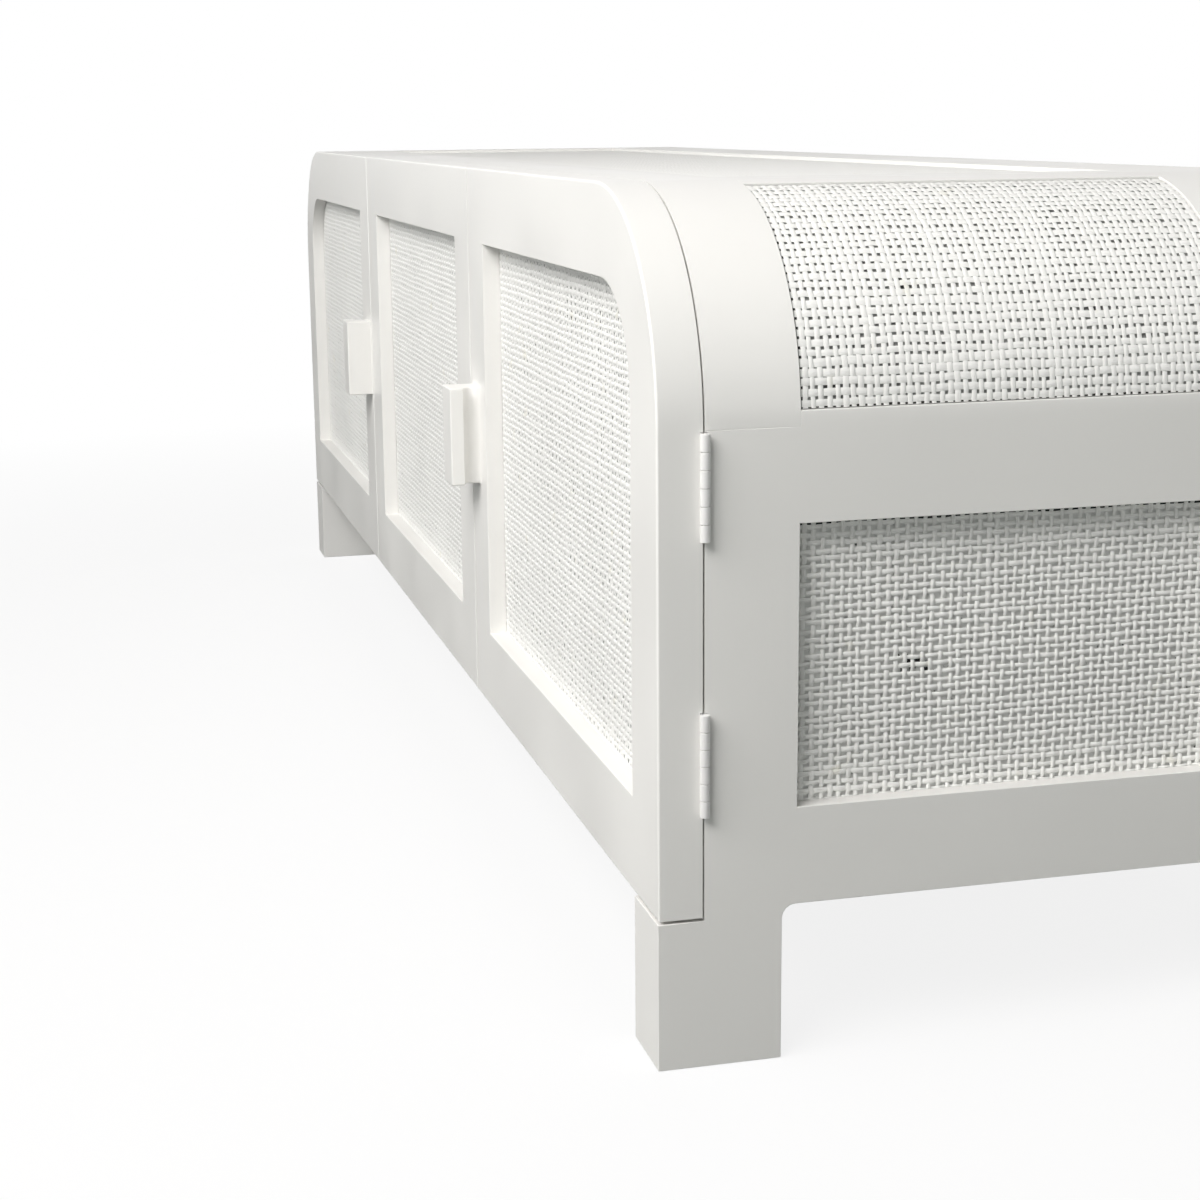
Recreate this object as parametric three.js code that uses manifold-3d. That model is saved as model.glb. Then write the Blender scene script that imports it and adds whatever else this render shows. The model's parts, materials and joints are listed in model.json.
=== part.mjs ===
// Low media cabinet with rounded top ends, woven cane panels and three doors.
// Millimetres, +Z up. The case stands on Z = 0 and its doors face -Y.
// Pieces are drawn in case coordinates: X from the middle, Y from the door fronts back, Z from the floor.

import * as THREE from 'three';
import { mergeVertices } from 'three/addons/utils/BufferGeometryUtils.js';
import Module from 'manifold-3d';

const wasm = await Module();
wasm.setup();

// Case: overall sizes
const length = 1600;
const depth = 430;
const height = 500;
const curveRadius = 130;
const underside = 94;

// Case: framing
const frameThickness = 25;
const memberWidth = 55;
const backPostWidth = 82;
const postThickness = 51;
const footDepth = 74;
const backFootDepth = 55;
const footFillet = 8;
const footDoorGap = 2;
const bottomRailHeight = 58;
const middleRailHeight = 63;
const middleRailRise = 9;
const crossbarFlat = 36;
const crossbarDroop = 11;
const boardThickness = 18;
const topBoardThickness = 12;
const backThickness = 6;
const backInset = 8;

// Doors
const doors = 3;
const doorThickness = 26;
const doorGap = 2;
const doorSetOff = 1.5;
const doorBottomRail = 58;
const doorDrop = 3;
const doorOpeningRound = 66;
const doorArris = 3;

// Cane panels, and the grooves and ledges that hold them
const caneThickness = 3;
const endCaneRecess = 12;
const curveCaneRecess = 1;
const topCaneRecess = 3;
const doorCaneRecess = 13;
const grooveDepth = 8;
const tongueGap = 1;
const ledgeWidth = 8;
const ledgeGap = 0.6;
const fit = 0.3;
const overrun = 2;

// Butt hinges of the two end doors
const hingeLength = 60;
const hingeLeafWidth = 19;
const hingeLeafThickness = 1.2;
const hingeBarrelRadius = 2.8;
const hingePinRadius = 1.2;
const hingeRunning = 0.2;
const hingeProud = 0.2;
const hingeLetIn = 0.9;
const knuckleGap = 0.3;
const knuckles = 6;
const hingeTopInset = 1;

// Concealed hinges of the middle door
const cupRadius = 17.5;
const cupDepth = 12;
const cupWall = 1;
const cupEdge = 5;
const cupFlange = 3;
const cupFlangeThickness = 0.5;
const cupWingWidth = 52;
const cupWingHeight = 12;
const cupInset = 90;
const armWidth = 14;
const armThickness = 8;
const armLength = 46;
const armClearance = 1.3;
const armPlateThickness = 3;
const armPlateWidth = 50;
const armPlateLength = 16;

// Handles
const handleHeight = 74;
const handleRaise = 2.5;
const handleWidth = 20;
const handleReach = 23.5;
const handleSlab = 10.5;
const handleNeck = 8;
const handleRound = 1.5;

// Shelves and catches
const shelfFrontInset = 20;
const shelfBackInset = 12;
const shelfEndGap = 1;
const pinRadius = 2.5;
const pinReach = 9;
const pinDepth = 8;
const pinInset = 25;
const pinPitch = 32;
const catchWidth = 42;
const catchDepth = 14;
const catchHeight = 15;
const catchInset = 20;
const cableHoleRadius = 30;
const cableHoleInset = 150;

// Facets of a quarter turn, on large curves, small ones, cups and arrises
const wideSteps = 20;
const narrowSteps = 4;
const roundSteps = 6;
const arrisSteps = 3;

// Places that follow from the sizes above
const endX = length / 2;
const frameX = endX - frameThickness;
const postX = endX - postThickness;
const curveX = endX - curveRadius;
const curveZ = height - curveRadius;
const caseFront = doorThickness + doorSetOff;
const stileInner = caseFront + memberWidth;
const backInner = depth - backPostWidth;
const railBack = depth - frameThickness;
const topUnder = height - frameThickness;
const bottomRailTop = underside + bottomRailHeight;
const middleRailTop = curveZ + middleRailRise;
const middleRailUnder = middleRailTop - middleRailHeight;
const crossbarX = curveX - crossbarFlat;
const crossbarAngle = THREE.MathUtils.degToRad(90 - crossbarDroop);
const railAngle = Math.asin(middleRailRise / curveRadius);
const tongue = grooveDepth - tongueGap;
const floorTop = underside + boardThickness;
const backFace = depth - backInset;
const backPanelFront = backFace - backThickness;
const doorWidth = (length - (doors - 1) * doorGap) / doors;
const middleDoorX = doorWidth / 2;
const partitionX = middleDoorX + doorGap / 2;
const doorFrameZ = height - memberWidth;
const doorUnder = underside - doorDrop;
const doorOpenZ = doorUnder + doorBottomRail;
const middleLevel = (underside + height) / 2;
const handleLevel = middleLevel + handleRaise;
const shelfUnder = middleLevel - boardThickness / 2;
const shelfPinZ = shelfUnder - fit - pinRadius;

// Finishes, as in the photograph: everything is painted the same satin white
const paint = new THREE.MeshStandardMaterial({ color: 0xf4f3ef, roughness: 0.45, metalness: 0 });
const cane = new THREE.MeshStandardMaterial({ color: 0xf2f0ea, roughness: 0.7, metalness: 0 });
const board = new THREE.MeshStandardMaterial({ color: 0xefeeea, roughness: 0.55, metalness: 0 });
const paintedHinge = new THREE.MeshStandardMaterial({ color: 0xf3f2ee, roughness: 0.35, metalness: 0.1 });
const steel = new THREE.MeshStandardMaterial({ color: 0xb9bbbd, roughness: 0.3, metalness: 1 });

// Shape tools: blocks, outlines pushed along an axis, and joins and cuts of closed meshes

const along = {
  x: new THREE.Matrix4().makeBasis(
    new THREE.Vector3(0, 1, 0), new THREE.Vector3(0, 0, 1), new THREE.Vector3(1, 0, 0)),
  y: new THREE.Matrix4().makeBasis(
    new THREE.Vector3(1, 0, 0), new THREE.Vector3(0, 0, 1), new THREE.Vector3(0, -1, 0)),
  z: new THREE.Matrix4(),
};

function block([x0, x1], [y0, y1], [z0, z1]) {
  const geometry = new THREE.BoxGeometry(x1 - x0, y1 - y0, z1 - z0);
  return geometry.translate((x0 + x1) / 2, (y0 + y1) / 2, (z0 + z1) / 2);
}

// Pushes an outline along an axis; each arc in it gets as many facets as steps says
function push(axis, outline, low, high, steps = wideSteps) {
  const settings = { depth: high - low, bevelEnabled: false, curveSegments: steps / 2 };
  const geometry = new THREE.ExtrudeGeometry(outline, settings);
  geometry.applyMatrix4(along[axis]);
  if (axis === 'x') geometry.translate(low, 0, 0);
  if (axis === 'y') geometry.translate(0, high, 0);
  if (axis === 'z') geometry.translate(0, 0, low);
  return geometry;
}

// A round bar along an axis, centred at u and v across it, with flat ends
function rod(axis, radius, u, v, low, high, steps = narrowSteps) {
  const outline = new THREE.Shape();
  outline.absarc(u, v, radius, 0, 2 * Math.PI, false);
  return push(axis, outline, low, high, 4 * steps);
}

// A band between two radii about the end curve's centre, drawn in X and Z
function arcBand(inner, outer, from, to) {
  const outline = new THREE.Shape();
  outline.absarc(curveX, curveZ, outer, from, to, false);
  outline.absarc(curveX, curveZ, inner, to, from, true);
  outline.closePath();
  return outline;
}

// Joins and cuts, on the closed solids of the manifold library
function toSolid(geometry) {
  const bare = new THREE.BufferGeometry();
  bare.setAttribute('position', geometry.getAttribute('position').clone());
  if (geometry.index) bare.setIndex(geometry.index.clone());
  const merged = mergeVertices(bare);
  const vertProperties = new Float32Array(merged.getAttribute('position').array);
  const triVerts = new Uint32Array(merged.index.array);
  return new wasm.Manifold(new wasm.Mesh({ numProp: 3, vertProperties, triVerts }));
}

function toGeometry(solid) {
  const { vertProperties, triVerts } = solid.getMesh();
  const geometry = new THREE.BufferGeometry();
  geometry.setAttribute('position', new THREE.Float32BufferAttribute(vertProperties, 3));
  geometry.setIndex(new THREE.Uint32BufferAttribute(triVerts, 1));
  return geometry;
}

function join(...geometries) {
  return toGeometry(geometries.map(toSolid).reduce((whole, next) => whole.add(next)));
}

function cut(geometry, ...cutters) {
  const solids = cutters.map(toSolid);
  return toGeometry(solids.reduce((whole, next) => whole.subtract(next), toSolid(geometry)));
}

function within(geometry, blank) {
  return toGeometry(toSolid(geometry).intersect(toSolid(blank)));
}

// The same piece for the other end: X changes sign and each triangle turns round
function mirrored(geometry) {
  const flipped = geometry.index ? geometry.toNonIndexed() : geometry.clone();
  const place = flipped.getAttribute('position');
  for (let first = 0; first < place.count; first += 3) {
    const corners = [0, 2, 1].map((step) => [
      -place.getX(first + step), place.getY(first + step), place.getZ(first + step)]);
    corners.forEach(([x, y, z], step) => place.setXYZ(first + step, x, y, z));
  }
  return flipped;
}

const unit = new THREE.Group();
unit.position.y = (handleReach - depth) / 2;

function add(name, geometry, material) {
  const bare = new THREE.BufferGeometry();
  bare.setAttribute('position', geometry.getAttribute('position'));
  bare.setIndex(geometry.index);
  bare.computeVertexNormals();
  const mesh = new THREE.Mesh(bare, material);
  mesh.name = name;
  unit.add(mesh);
  return mesh;
}

function addPair(name, geometry, material) {
  add(`right_${name}`, geometry, material);
  add(`left_${name}`, mirrored(geometry), material);
}

// Seats for the cane at the ends: a flat slot in the framing, and a ledge that follows the curve

const endSlotX = [
  endX - endCaneRecess - caneThickness - fit,
  endX - endCaneRecess + fit,
];
const ledgeRadius = curveRadius - curveCaneRecess - caneThickness - fit;
const betweenLedges = [stileInner + ledgeWidth + fit, backInner - ledgeWidth - fit];

function ledge(from, to) {
  const band = arcBand(curveRadius - frameThickness, ledgeRadius, from, to);
  return push('y', band, ...betweenLedges, narrowSteps);
}

// Butt hinge places: the barrel stands proud of the end face, over the gap behind the door

const barrelX = endX + hingeBarrelRadius + hingeProud;
const barrelY = doorThickness + doorSetOff / 2;
const leafX = [endX - hingeLeafWidth, endX - hingeProud];
const doorLeafY = [
  doorThickness - hingeLetIn,
  doorThickness - hingeLetIn + hingeLeafThickness,
];
const frameLeafY = [
  caseFront + hingeLetIn - hingeLeafThickness,
  caseFront + hingeLetIn,
];
const hingeBottoms = [bottomRailTop - fit, curveZ - hingeTopInset - hingeLength];

function leafPocket(bottom, yRange) {
  return block(
    [endX - hingeLeafWidth - fit, endX + overrun],
    yRange,
    [bottom - fit, bottom + hingeLength + fit]);
}

// Shelf pins: each stands in the middle hole of its row, and the shelf can move to the free holes

const frontPinY = caseFront + pinInset;
const backPinY = backPanelFront - pinInset - shelfBackInset;

// The free holes of a row, in a wall face that looks along X by way (1 or -1)
function freeHoles(face, way, y) {
  const ends = [face - way * (pinDepth + fit), face + way * overrun];
  return [-pinPitch, pinPitch].map((step) => rod(
    'x', pinRadius + fit, y, shelfPinZ + step, Math.min(...ends), Math.max(...ends)));
}

function shelfPin(face, way, y) {
  const ends = [face - way * pinDepth, face + way * pinReach];
  return rod('x', pinRadius, y, shelfPinZ, Math.min(...ends), Math.max(...ends));
}

// End posts: the foot reaches forward under the door, then the post rises behind it

function postOutline(toY, setBack, inner, foot) {
  const shoulder = doorUnder - footDoorGap;
  const round = Math.min(footFillet, inner - foot);
  const corners = [[0, 0], [foot, 0]];
  for (let step = 0; step <= narrowSteps; step += 1) {
    const turn = (step / narrowSteps) * (Math.PI / 2);
    corners.push([
      foot + round - round * Math.cos(turn),
      underside - round + round * Math.sin(turn)]);
  }
  if (inner > foot + round) corners.push([inner, underside]);
  corners.push([inner, curveZ], [setBack, curveZ]);
  if (setBack > 0) corners.push([setBack, shoulder], [0, shoulder]);
  return new THREE.Shape(corners.map(([reach, z]) => new THREE.Vector2(toY(reach), z)));
}

function endSlot(yRange) {
  return block(endSlotX, yRange, [bottomRailTop - grooveDepth, middleRailUnder + grooveDepth]);
}

const backSlotY = [backPanelFront - fit, backFace + fit];

function frontPost() {
  const outline = postOutline((reach) => reach, caseFront, stileInner, footDepth);
  const post = cut(
    push('x', outline, postX, endX),
    endSlot([stileInner - grooveDepth, stileInner + overrun]),
    ...hingeBottoms.map((bottom) => leafPocket(bottom, [
      caseFront - overrun,
      caseFront + hingeLetIn + fit])),
    ...freeHoles(postX, -1, frontPinY));
  return join(post, shelfPin(postX, -1, frontPinY));
}

function backPost() {
  const outline = postOutline((reach) => depth - reach, 0, backPostWidth, backFootDepth);
  const slotZ = [bottomRailTop - grooveDepth, curveZ + overrun];
  const post = cut(
    push('x', outline, postX, endX),
    endSlot([backInner - overrun, backInner + grooveDepth]),
    block([postX - overrun, postX + grooveDepth], backSlotY, slotZ),
    ...freeHoles(postX, -1, backPinY));
  return join(post, shelfPin(postX, -1, backPinY));
}

addPair('front_post', frontPost(), paint);
addPair('back_post', backPost(), paint);

// End rails between the posts

const endRailCutY = [stileInner - overrun, backInner + overrun];

function bottomEndRail() {
  return cut(
    block([frameX, endX], [stileInner, backInner], [underside, bottomRailTop]),
    block(endSlotX, endRailCutY, [bottomRailTop - grooveDepth, bottomRailTop + overrun]));
}

function middleEndRail() {
  const outline = new THREE.Shape();
  outline.moveTo(frameX, middleRailUnder);
  outline.lineTo(endX, middleRailUnder);
  outline.lineTo(endX, curveZ);
  outline.absarc(curveX, curveZ, curveRadius, 0, railAngle, false);
  outline.lineTo(frameX, middleRailTop);
  outline.closePath();
  const rail = cut(
    push('y', outline, stileInner, backInner, narrowSteps),
    block(endSlotX, endRailCutY, [middleRailUnder - overrun, middleRailUnder + grooveDepth]));
  return join(rail, ledge(railAngle - overrun / curveRadius, railAngle + ledgeWidth / curveRadius));
}

addPair('bottom_end_rail', bottomEndRail(), paint);
addPair('middle_end_rail', middleEndRail(), paint);

// Curved strips that carry the framing from the posts over to the top

// The strip is full thickness over yRange, and a ledge for the cane's edge over ledgeY
function curvedStrip(yRange, ledgeY) {
  const band = arcBand(curveRadius - frameThickness, curveRadius, 0, Math.PI / 2);
  const whole = [Math.min(...yRange, ...ledgeY), Math.max(...yRange, ...ledgeY)];
  return cut(
    push('y', band, ...whole),
    push('y', arcBand(ledgeRadius, curveRadius + overrun, 0, Math.PI / 2), ...ledgeY),
    push('y', arcBand(0, curveRadius, crossbarAngle - fit / curveRadius, Math.PI / 2), ...ledgeY),
    block([curveX, endX + overrun], ledgeY, [curveZ - overrun, middleRailTop + fit]));
}

function backCurvedStrip() {
  const strip = curvedStrip([backInner, depth], [backInner - ledgeWidth, backInner]);
  const panelEdge = curveRadius - frameThickness + grooveDepth;
  return cut(strip, push('y', arcBand(0, panelEdge, 0, Math.PI / 2), ...backSlotY));
}

addPair('front_curved_strip', curvedStrip(
  [caseFront, stileInner],
  [stileInner, stileInner + ledgeWidth]), paint);
addPair('back_curved_strip', backCurvedStrip(), paint);

// Top framing: two rails and two crossbars, slotted for the board under the cane

const topSlotZ = [
  height - topCaneRecess - caneThickness - topBoardThickness - fit,
  height - topCaneRecess - caneThickness + fit,
];

function topRail(yRange) {
  return block([-curveX, curveX], yRange, [topUnder, height]);
}

// The three magnetic catches, one behind each door's free edge, stay with the rail that carries them
const catchX = [
  endX - doorWidth + catchInset,
  catchInset - middleDoorX,
  doorWidth - endX - catchInset - catchWidth,
];

function frontTopRail() {
  const slotY = [stileInner - grooveDepth, stileInner + overrun];
  const rail = cut(
    topRail([caseFront, stileInner]),
    block([-curveX - overrun, curveX + overrun], slotY, topSlotZ));
  return join(rail, ...catchX.map((x) => block(
    [x, x + catchWidth],
    [caseFront, caseFront + catchDepth],
    [topUnder - catchHeight, topUnder + fit])));
}

function backTopRail() {
  const across = [-curveX - overrun, curveX + overrun];
  return cut(
    topRail([backInner, depth]),
    block(across, [backInner - overrun, backInner + grooveDepth], topSlotZ),
    block(across, backSlotY, [topUnder - overrun, topUnder + grooveDepth]));
}

function crossbar() {
  const outline = new THREE.Shape();
  outline.moveTo(crossbarX, topUnder);
  outline.absarc(curveX, curveZ, curveRadius - frameThickness, Math.PI / 2, crossbarAngle, true);
  outline.absarc(curveX, curveZ, curveRadius, crossbarAngle, Math.PI / 2, false);
  outline.lineTo(crossbarX, height);
  outline.closePath();
  const bar = cut(
    push('y', outline, stileInner, backInner, narrowSteps),
    block([crossbarX - overrun, crossbarX + grooveDepth], endRailCutY, topSlotZ));
  return join(bar, ledge(
    crossbarAngle - ledgeWidth / curveRadius,
    crossbarAngle + overrun / curveRadius));
}

add('front_top_rail', frontTopRail(), paint);
add('back_top_rail', backTopRail(), paint);
addPair('crossbar', crossbar(), paint);

// Cane at both ends, over both curves and on the top, which has a board under it

const endCaneX = [endX - endCaneRecess - caneThickness, endX - endCaneRecess];
addPair('end_cane', block(
  endCaneX,
  [stileInner - tongue, backInner + tongue],
  [bottomRailTop - tongue, middleRailUnder + tongue]), cane);

addPair('curved_cane', push(
  'y',
  arcBand(
    curveRadius - curveCaneRecess - caneThickness,
    curveRadius - curveCaneRecess,
    railAngle + ledgeGap / curveRadius,
    crossbarAngle - ledgeGap / curveRadius),
  stileInner + ledgeGap,
  backInner - ledgeGap), cane);

const topCaneTop = height - topCaneRecess;
const topBoardTop = topCaneTop - caneThickness;
add('top_board', block(
  [-crossbarX - tongue, crossbarX + tongue],
  [stileInner - tongue, backInner + tongue],
  [topBoardTop - topBoardThickness, topBoardTop]), board);
add('top_cane', block(
  [-crossbarX + fit, crossbarX - fit],
  [stileInner + fit, backInner - fit],
  [topBoardTop, topCaneTop]), cane);

// Inside: floor notched round the posts, partition, back rail, back panels and shelves

function floorOutline() {
  const corners = [
    [postX, caseFront], [postX, stileInner], [frameX, stileInner],
    [frameX, backInner], [postX, backInner], [postX, railBack],
  ];
  const left = corners.map(([x, y]) => [-x, y]).reverse();
  return new THREE.Shape([...corners, ...left].map(([x, y]) => new THREE.Vector2(x, y)));
}

function partitionOutline() {
  const corners = [
    [caseFront, floorTop], [railBack, floorTop], [railBack, bottomRailTop],
    [backPanelFront, bottomRailTop], [backPanelFront, topUnder], [caseFront, topUnder],
  ];
  return new THREE.Shape(corners.map(([y, z]) => new THREE.Vector2(y, z)));
}

const partitionFaces = [partitionX - boardThickness / 2, partitionX + boardThickness / 2];

function partition() {
  const [leftFace, rightFace] = partitionFaces;
  const seats = [frontPinY, backPinY].flatMap((y) => [[leftFace, -1, y], [rightFace, 1, y]]);
  const body = push('x', partitionOutline(), leftFace, rightFace);
  const bored = cut(body, ...seats.flatMap((seat) => freeHoles(...seat)));
  return join(bored, ...seats.map((seat) => shelfPin(...seat)));
}

function backRail() {
  const slotX = [-postX - overrun, postX + overrun];
  return cut(
    block([-postX, postX], [railBack, depth], [underside, bottomRailTop]),
    block(slotX, backSlotY, [bottomRailTop - grooveDepth, bottomRailTop + overrun]));
}

// The back panel follows the rounded ends, and its edge is let into the framing all round
function backPanelHalf() {
  const edge = curveRadius - frameThickness + tongue;
  const outline = new THREE.Shape();
  outline.moveTo(-overrun, bottomRailTop - tongue);
  outline.lineTo(postX + tongue, bottomRailTop - tongue);
  outline.lineTo(postX + tongue, curveZ);
  outline.absarc(curveX, curveZ, edge, 0, Math.PI / 2, false);
  outline.lineTo(-overrun, curveZ + edge);
  outline.closePath();
  return push('y', outline, backPanelFront, backFace);
}

function cableHole(x) {
  const z = bottomRailTop + cableHoleRadius + memberWidth;
  return rod('y', cableHoleRadius, x, z, backPanelFront - overrun, backFace + overrun, roundSteps);
}

function backPanel() {
  const right = backPanelHalf();
  const whole = join(right, mirrored(right));
  return cut(whole, cableHole(postX - cableHoleInset), cableHole(cableHoleInset - postX));
}

add('floor', push('z', floorOutline(), underside, floorTop), board);
add('partition', partition(), board);
add('back_rail', backRail(), paint);
add('back_panel', backPanel(), board);

const shelfY = [caseFront + shelfFrontInset, backPanelFront - shelfBackInset];
const shelfZ = [shelfUnder, shelfUnder + boardThickness];
const shelfRanges = {
  right_shelf: [partitionFaces[1] + shelfEndGap, postX - shelfEndGap],
  left_shelf: [-postX + shelfEndGap, partitionFaces[0] - shelfEndGap],
};
for (const [name, xRange] of Object.entries(shelfRanges)) {
  add(name, block(xRange, shelfY, shelfZ), board);
}

// Doors: stiles, rails and, on the two end doors, a curved corner that follows the case

const doorSlotY = [doorCaneRecess - fit, doorCaneRecess + caneThickness + fit];
const doorCaneY = [doorCaneRecess, doorCaneRecess + caneThickness];
const doorY = [0, doorThickness];

// A whole door's outline with its front arris rounded; each member of the door is kept within it
function doorBlank(outline) {
  const back = doorThickness + overrun;
  const geometry = new THREE.ExtrudeGeometry(outline, {
    depth: back - doorArris,
    curveSegments: wideSteps / 2,
    bevelEnabled: true,
    bevelSegments: arrisSteps,
    bevelSize: doorArris,
    bevelThickness: doorArris,
    bevelOffset: -doorArris,
  });
  return geometry.applyMatrix4(along.y).translate(0, back, 0);
}

function doorStile(xRange, slotX, top) {
  const slotTop = Math.min(top + overrun, doorFrameZ + grooveDepth);
  return cut(
    block(xRange, doorY, [doorUnder, top]),
    block(slotX, doorSlotY, [doorOpenZ - grooveDepth, slotTop]));
}

function doorRail(xRange, zRange, slotZ) {
  return cut(
    block(xRange, doorY, zRange),
    block([xRange[0] - overrun, xRange[1] + overrun], doorSlotY, slotZ));
}

// Places across the right-hand door; the left-hand door is its mirror image
const endDoorInner = endX - doorWidth;
const latchInner = endDoorInner + memberWidth;
const hingeInner = endX - memberWidth;

function endDoorOutline() {
  const outline = new THREE.Shape();
  outline.moveTo(endDoorInner, doorUnder);
  outline.lineTo(endX, doorUnder);
  outline.lineTo(endX, curveZ);
  outline.absarc(curveX, curveZ, curveRadius, 0, Math.PI / 2, false);
  outline.lineTo(endDoorInner, height);
  outline.closePath();
  return outline;
}

const endDoorBlank = doorBlank(endDoorOutline());

function hingeStile() {
  const plain = doorStile([hingeInner, endX], [hingeInner - overrun, hingeInner + grooveDepth], curveZ);
  return cut(plain, ...hingeBottoms.map((bottom) => leafPocket(bottom, [
    doorThickness - hingeLetIn - fit,
    doorThickness + overrun])));
}

// The door's opening, grown by margin on every side, from a left edge and a lower edge
function openingOutline(left, low, margin) {
  const round = doorOpeningRound + margin;
  const right = hingeInner + margin;
  const top = doorFrameZ + margin;
  const outline = new THREE.Shape();
  outline.moveTo(left, low);
  outline.lineTo(right, low);
  outline.absarc(right - round, top - round, round, 0, Math.PI / 2, false);
  outline.lineTo(left, top);
  outline.closePath();
  return outline;
}

function doorCorner() {
  const outer = push('y', arcBand(0, curveRadius, 0, Math.PI / 2), ...doorY);
  const left = curveX - overrun;
  const low = curveZ - overrun;
  return cut(
    outer,
    push('y', openingOutline(left, low, 0), -overrun, doorThickness + overrun),
    push('y', openingOutline(left, low, grooveDepth), ...doorSlotY));
}

function endDoorCane() {
  const outline = openingOutline(latchInner - tongue, doorOpenZ - tongue, tongue);
  return push('y', outline, ...doorCaneY);
}

function addEndDoorMember(name, geometry) {
  addPair(name, within(geometry, endDoorBlank), paint);
}

addEndDoorMember('door_hinge_stile', hingeStile());
addEndDoorMember('door_corner', doorCorner());
addEndDoorMember('door_latch_stile', doorStile(
  [endDoorInner, latchInner],
  [latchInner - grooveDepth, latchInner + overrun],
  height));
addEndDoorMember('door_top_rail', doorRail(
  [latchInner, curveX],
  [doorFrameZ, height],
  [doorFrameZ - overrun, doorFrameZ + grooveDepth]));
addEndDoorMember('door_bottom_rail', doorRail(
  [latchInner, hingeInner],
  [doorUnder, doorOpenZ],
  [doorOpenZ - grooveDepth, doorOpenZ + overrun]));
addPair('door_cane', endDoorCane(), cane);

// Middle door: square corners, hinged on the partition at its right-hand edge

const middleInner = middleDoorX - memberWidth;
const cupX = middleDoorX - cupEdge - cupRadius;
const cupZ = [underside + cupInset, height - cupInset];

function cupPocket(z) {
  const front = doorThickness - cupDepth - fit;
  return rod('y', cupRadius + fit, cupX, z, front, doorThickness + overrun, roundSteps);
}

function middleHingeStile() {
  const plain = doorStile(
    [middleInner, middleDoorX],
    [middleInner - overrun, middleInner + grooveDepth],
    height);
  return cut(plain, ...cupZ.map(cupPocket));
}

const middleCorners = [
  [-middleDoorX, doorUnder], [middleDoorX, doorUnder],
  [middleDoorX, height], [-middleDoorX, height],
];
const middleOutline = new THREE.Shape(middleCorners.map(([x, z]) => new THREE.Vector2(x, z)));
const middleDoorBlank = doorBlank(middleOutline);

function addMiddleDoorMember(name, geometry) {
  add(name, within(geometry, middleDoorBlank), paint);
}

addMiddleDoorMember('middle_door_hinge_stile', middleHingeStile());
addMiddleDoorMember('middle_door_latch_stile', doorStile(
  [-middleDoorX, -middleInner],
  [-middleInner - grooveDepth, -middleInner + overrun],
  height));
addMiddleDoorMember('middle_door_top_rail', doorRail(
  [-middleInner, middleInner],
  [doorFrameZ, height],
  [doorFrameZ - overrun, doorFrameZ + grooveDepth]));
addMiddleDoorMember('middle_door_bottom_rail', doorRail(
  [-middleInner, middleInner],
  [doorUnder, doorOpenZ],
  [doorOpenZ - grooveDepth, doorOpenZ + overrun]));
add('middle_door_cane', block(
  [-middleInner - tongue, middleInner + tongue],
  doorCaneY,
  [doorOpenZ - tongue, doorFrameZ + tongue]), cane);

// Handles: a block with a finger scoop down each side, which leaves a slab on a narrow neck

function handle(x) {
  const half = handleWidth / 2;
  const slabBack = handleSlab - handleReach;
  const scoop = half - handleNeck / 2;
  const scoopSpan = -slabBack / 2;
  const side = [];
  for (let step = 0; step <= 2 * narrowSteps; step += 1) {
    const turn = (step / (2 * narrowSteps)) * Math.PI;
    side.push([half - scoop * Math.sin(turn), slabBack + scoopSpan - scoopSpan * Math.cos(turn)]);
  }
  side.unshift([half, handleRound - handleReach], [half - handleRound, -handleReach]);
  side.sort((a, b) => a[1] - b[1]);
  const other = side.map(([reach, y]) => [-reach, y]).reverse();
  const corners = [...side, ...other].map(([reach, y]) => new THREE.Vector2(x + reach, y));
  const outline = new THREE.Shape(corners);
  return push('z', outline, handleLevel - handleHeight / 2, handleLevel + handleHeight / 2);
}

addPair('door_handle', handle((endDoorInner + latchInner) / 2), paint);
add('middle_door_handle', handle(-(middleDoorX + middleInner) / 2), paint);

// Butt hinges: knuckles by turns on the door's leaf and the frame's leaf, on one pin

const knuckleLength = hingeLength / knuckles;

// A leaf with every other knuckle, counted from the first one up
function hingeLeaf(bottom, yRange, first) {
  const pieces = [block(leafX, yRange, [bottom, bottom + hingeLength])];
  for (let knuckle = first; knuckle < knuckles; knuckle += 2) {
    const zRange = [
      bottom + knuckle * knuckleLength + knuckleGap / 2,
      bottom + (knuckle + 1) * knuckleLength - knuckleGap / 2];
    pieces.push(block([leafX[1] - overrun, barrelX], yRange, zRange));
    pieces.push(rod('z', hingeBarrelRadius, barrelX, barrelY, ...zRange));
  }
  return join(...pieces);
}

function doorLeaf(bottom) {
  const bore = rod(
    'z', hingePinRadius + hingeRunning, barrelX, barrelY,
    bottom - overrun, bottom + hingeLength + overrun);
  return cut(hingeLeaf(bottom, doorLeafY, 1), bore);
}

// The pin is fast in the frame leaf's knuckles, and the door leaf turns on it
function frameLeaf(bottom) {
  const pin = rod('z', hingePinRadius, barrelX, barrelY, bottom + knuckleGap, bottom + hingeLength);
  return join(hingeLeaf(bottom, frameLeafY, 0), pin);
}

['lower', 'upper'].forEach((place, index) => {
  addPair(`${place}_door_leaf`, doorLeaf(hingeBottoms[index]), paintedHinge);
  addPair(`${place}_frame_leaf`, frameLeaf(hingeBottoms[index]), paintedHinge);
});

// Concealed hinges: cups let into the middle door, and arms on the partition

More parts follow.
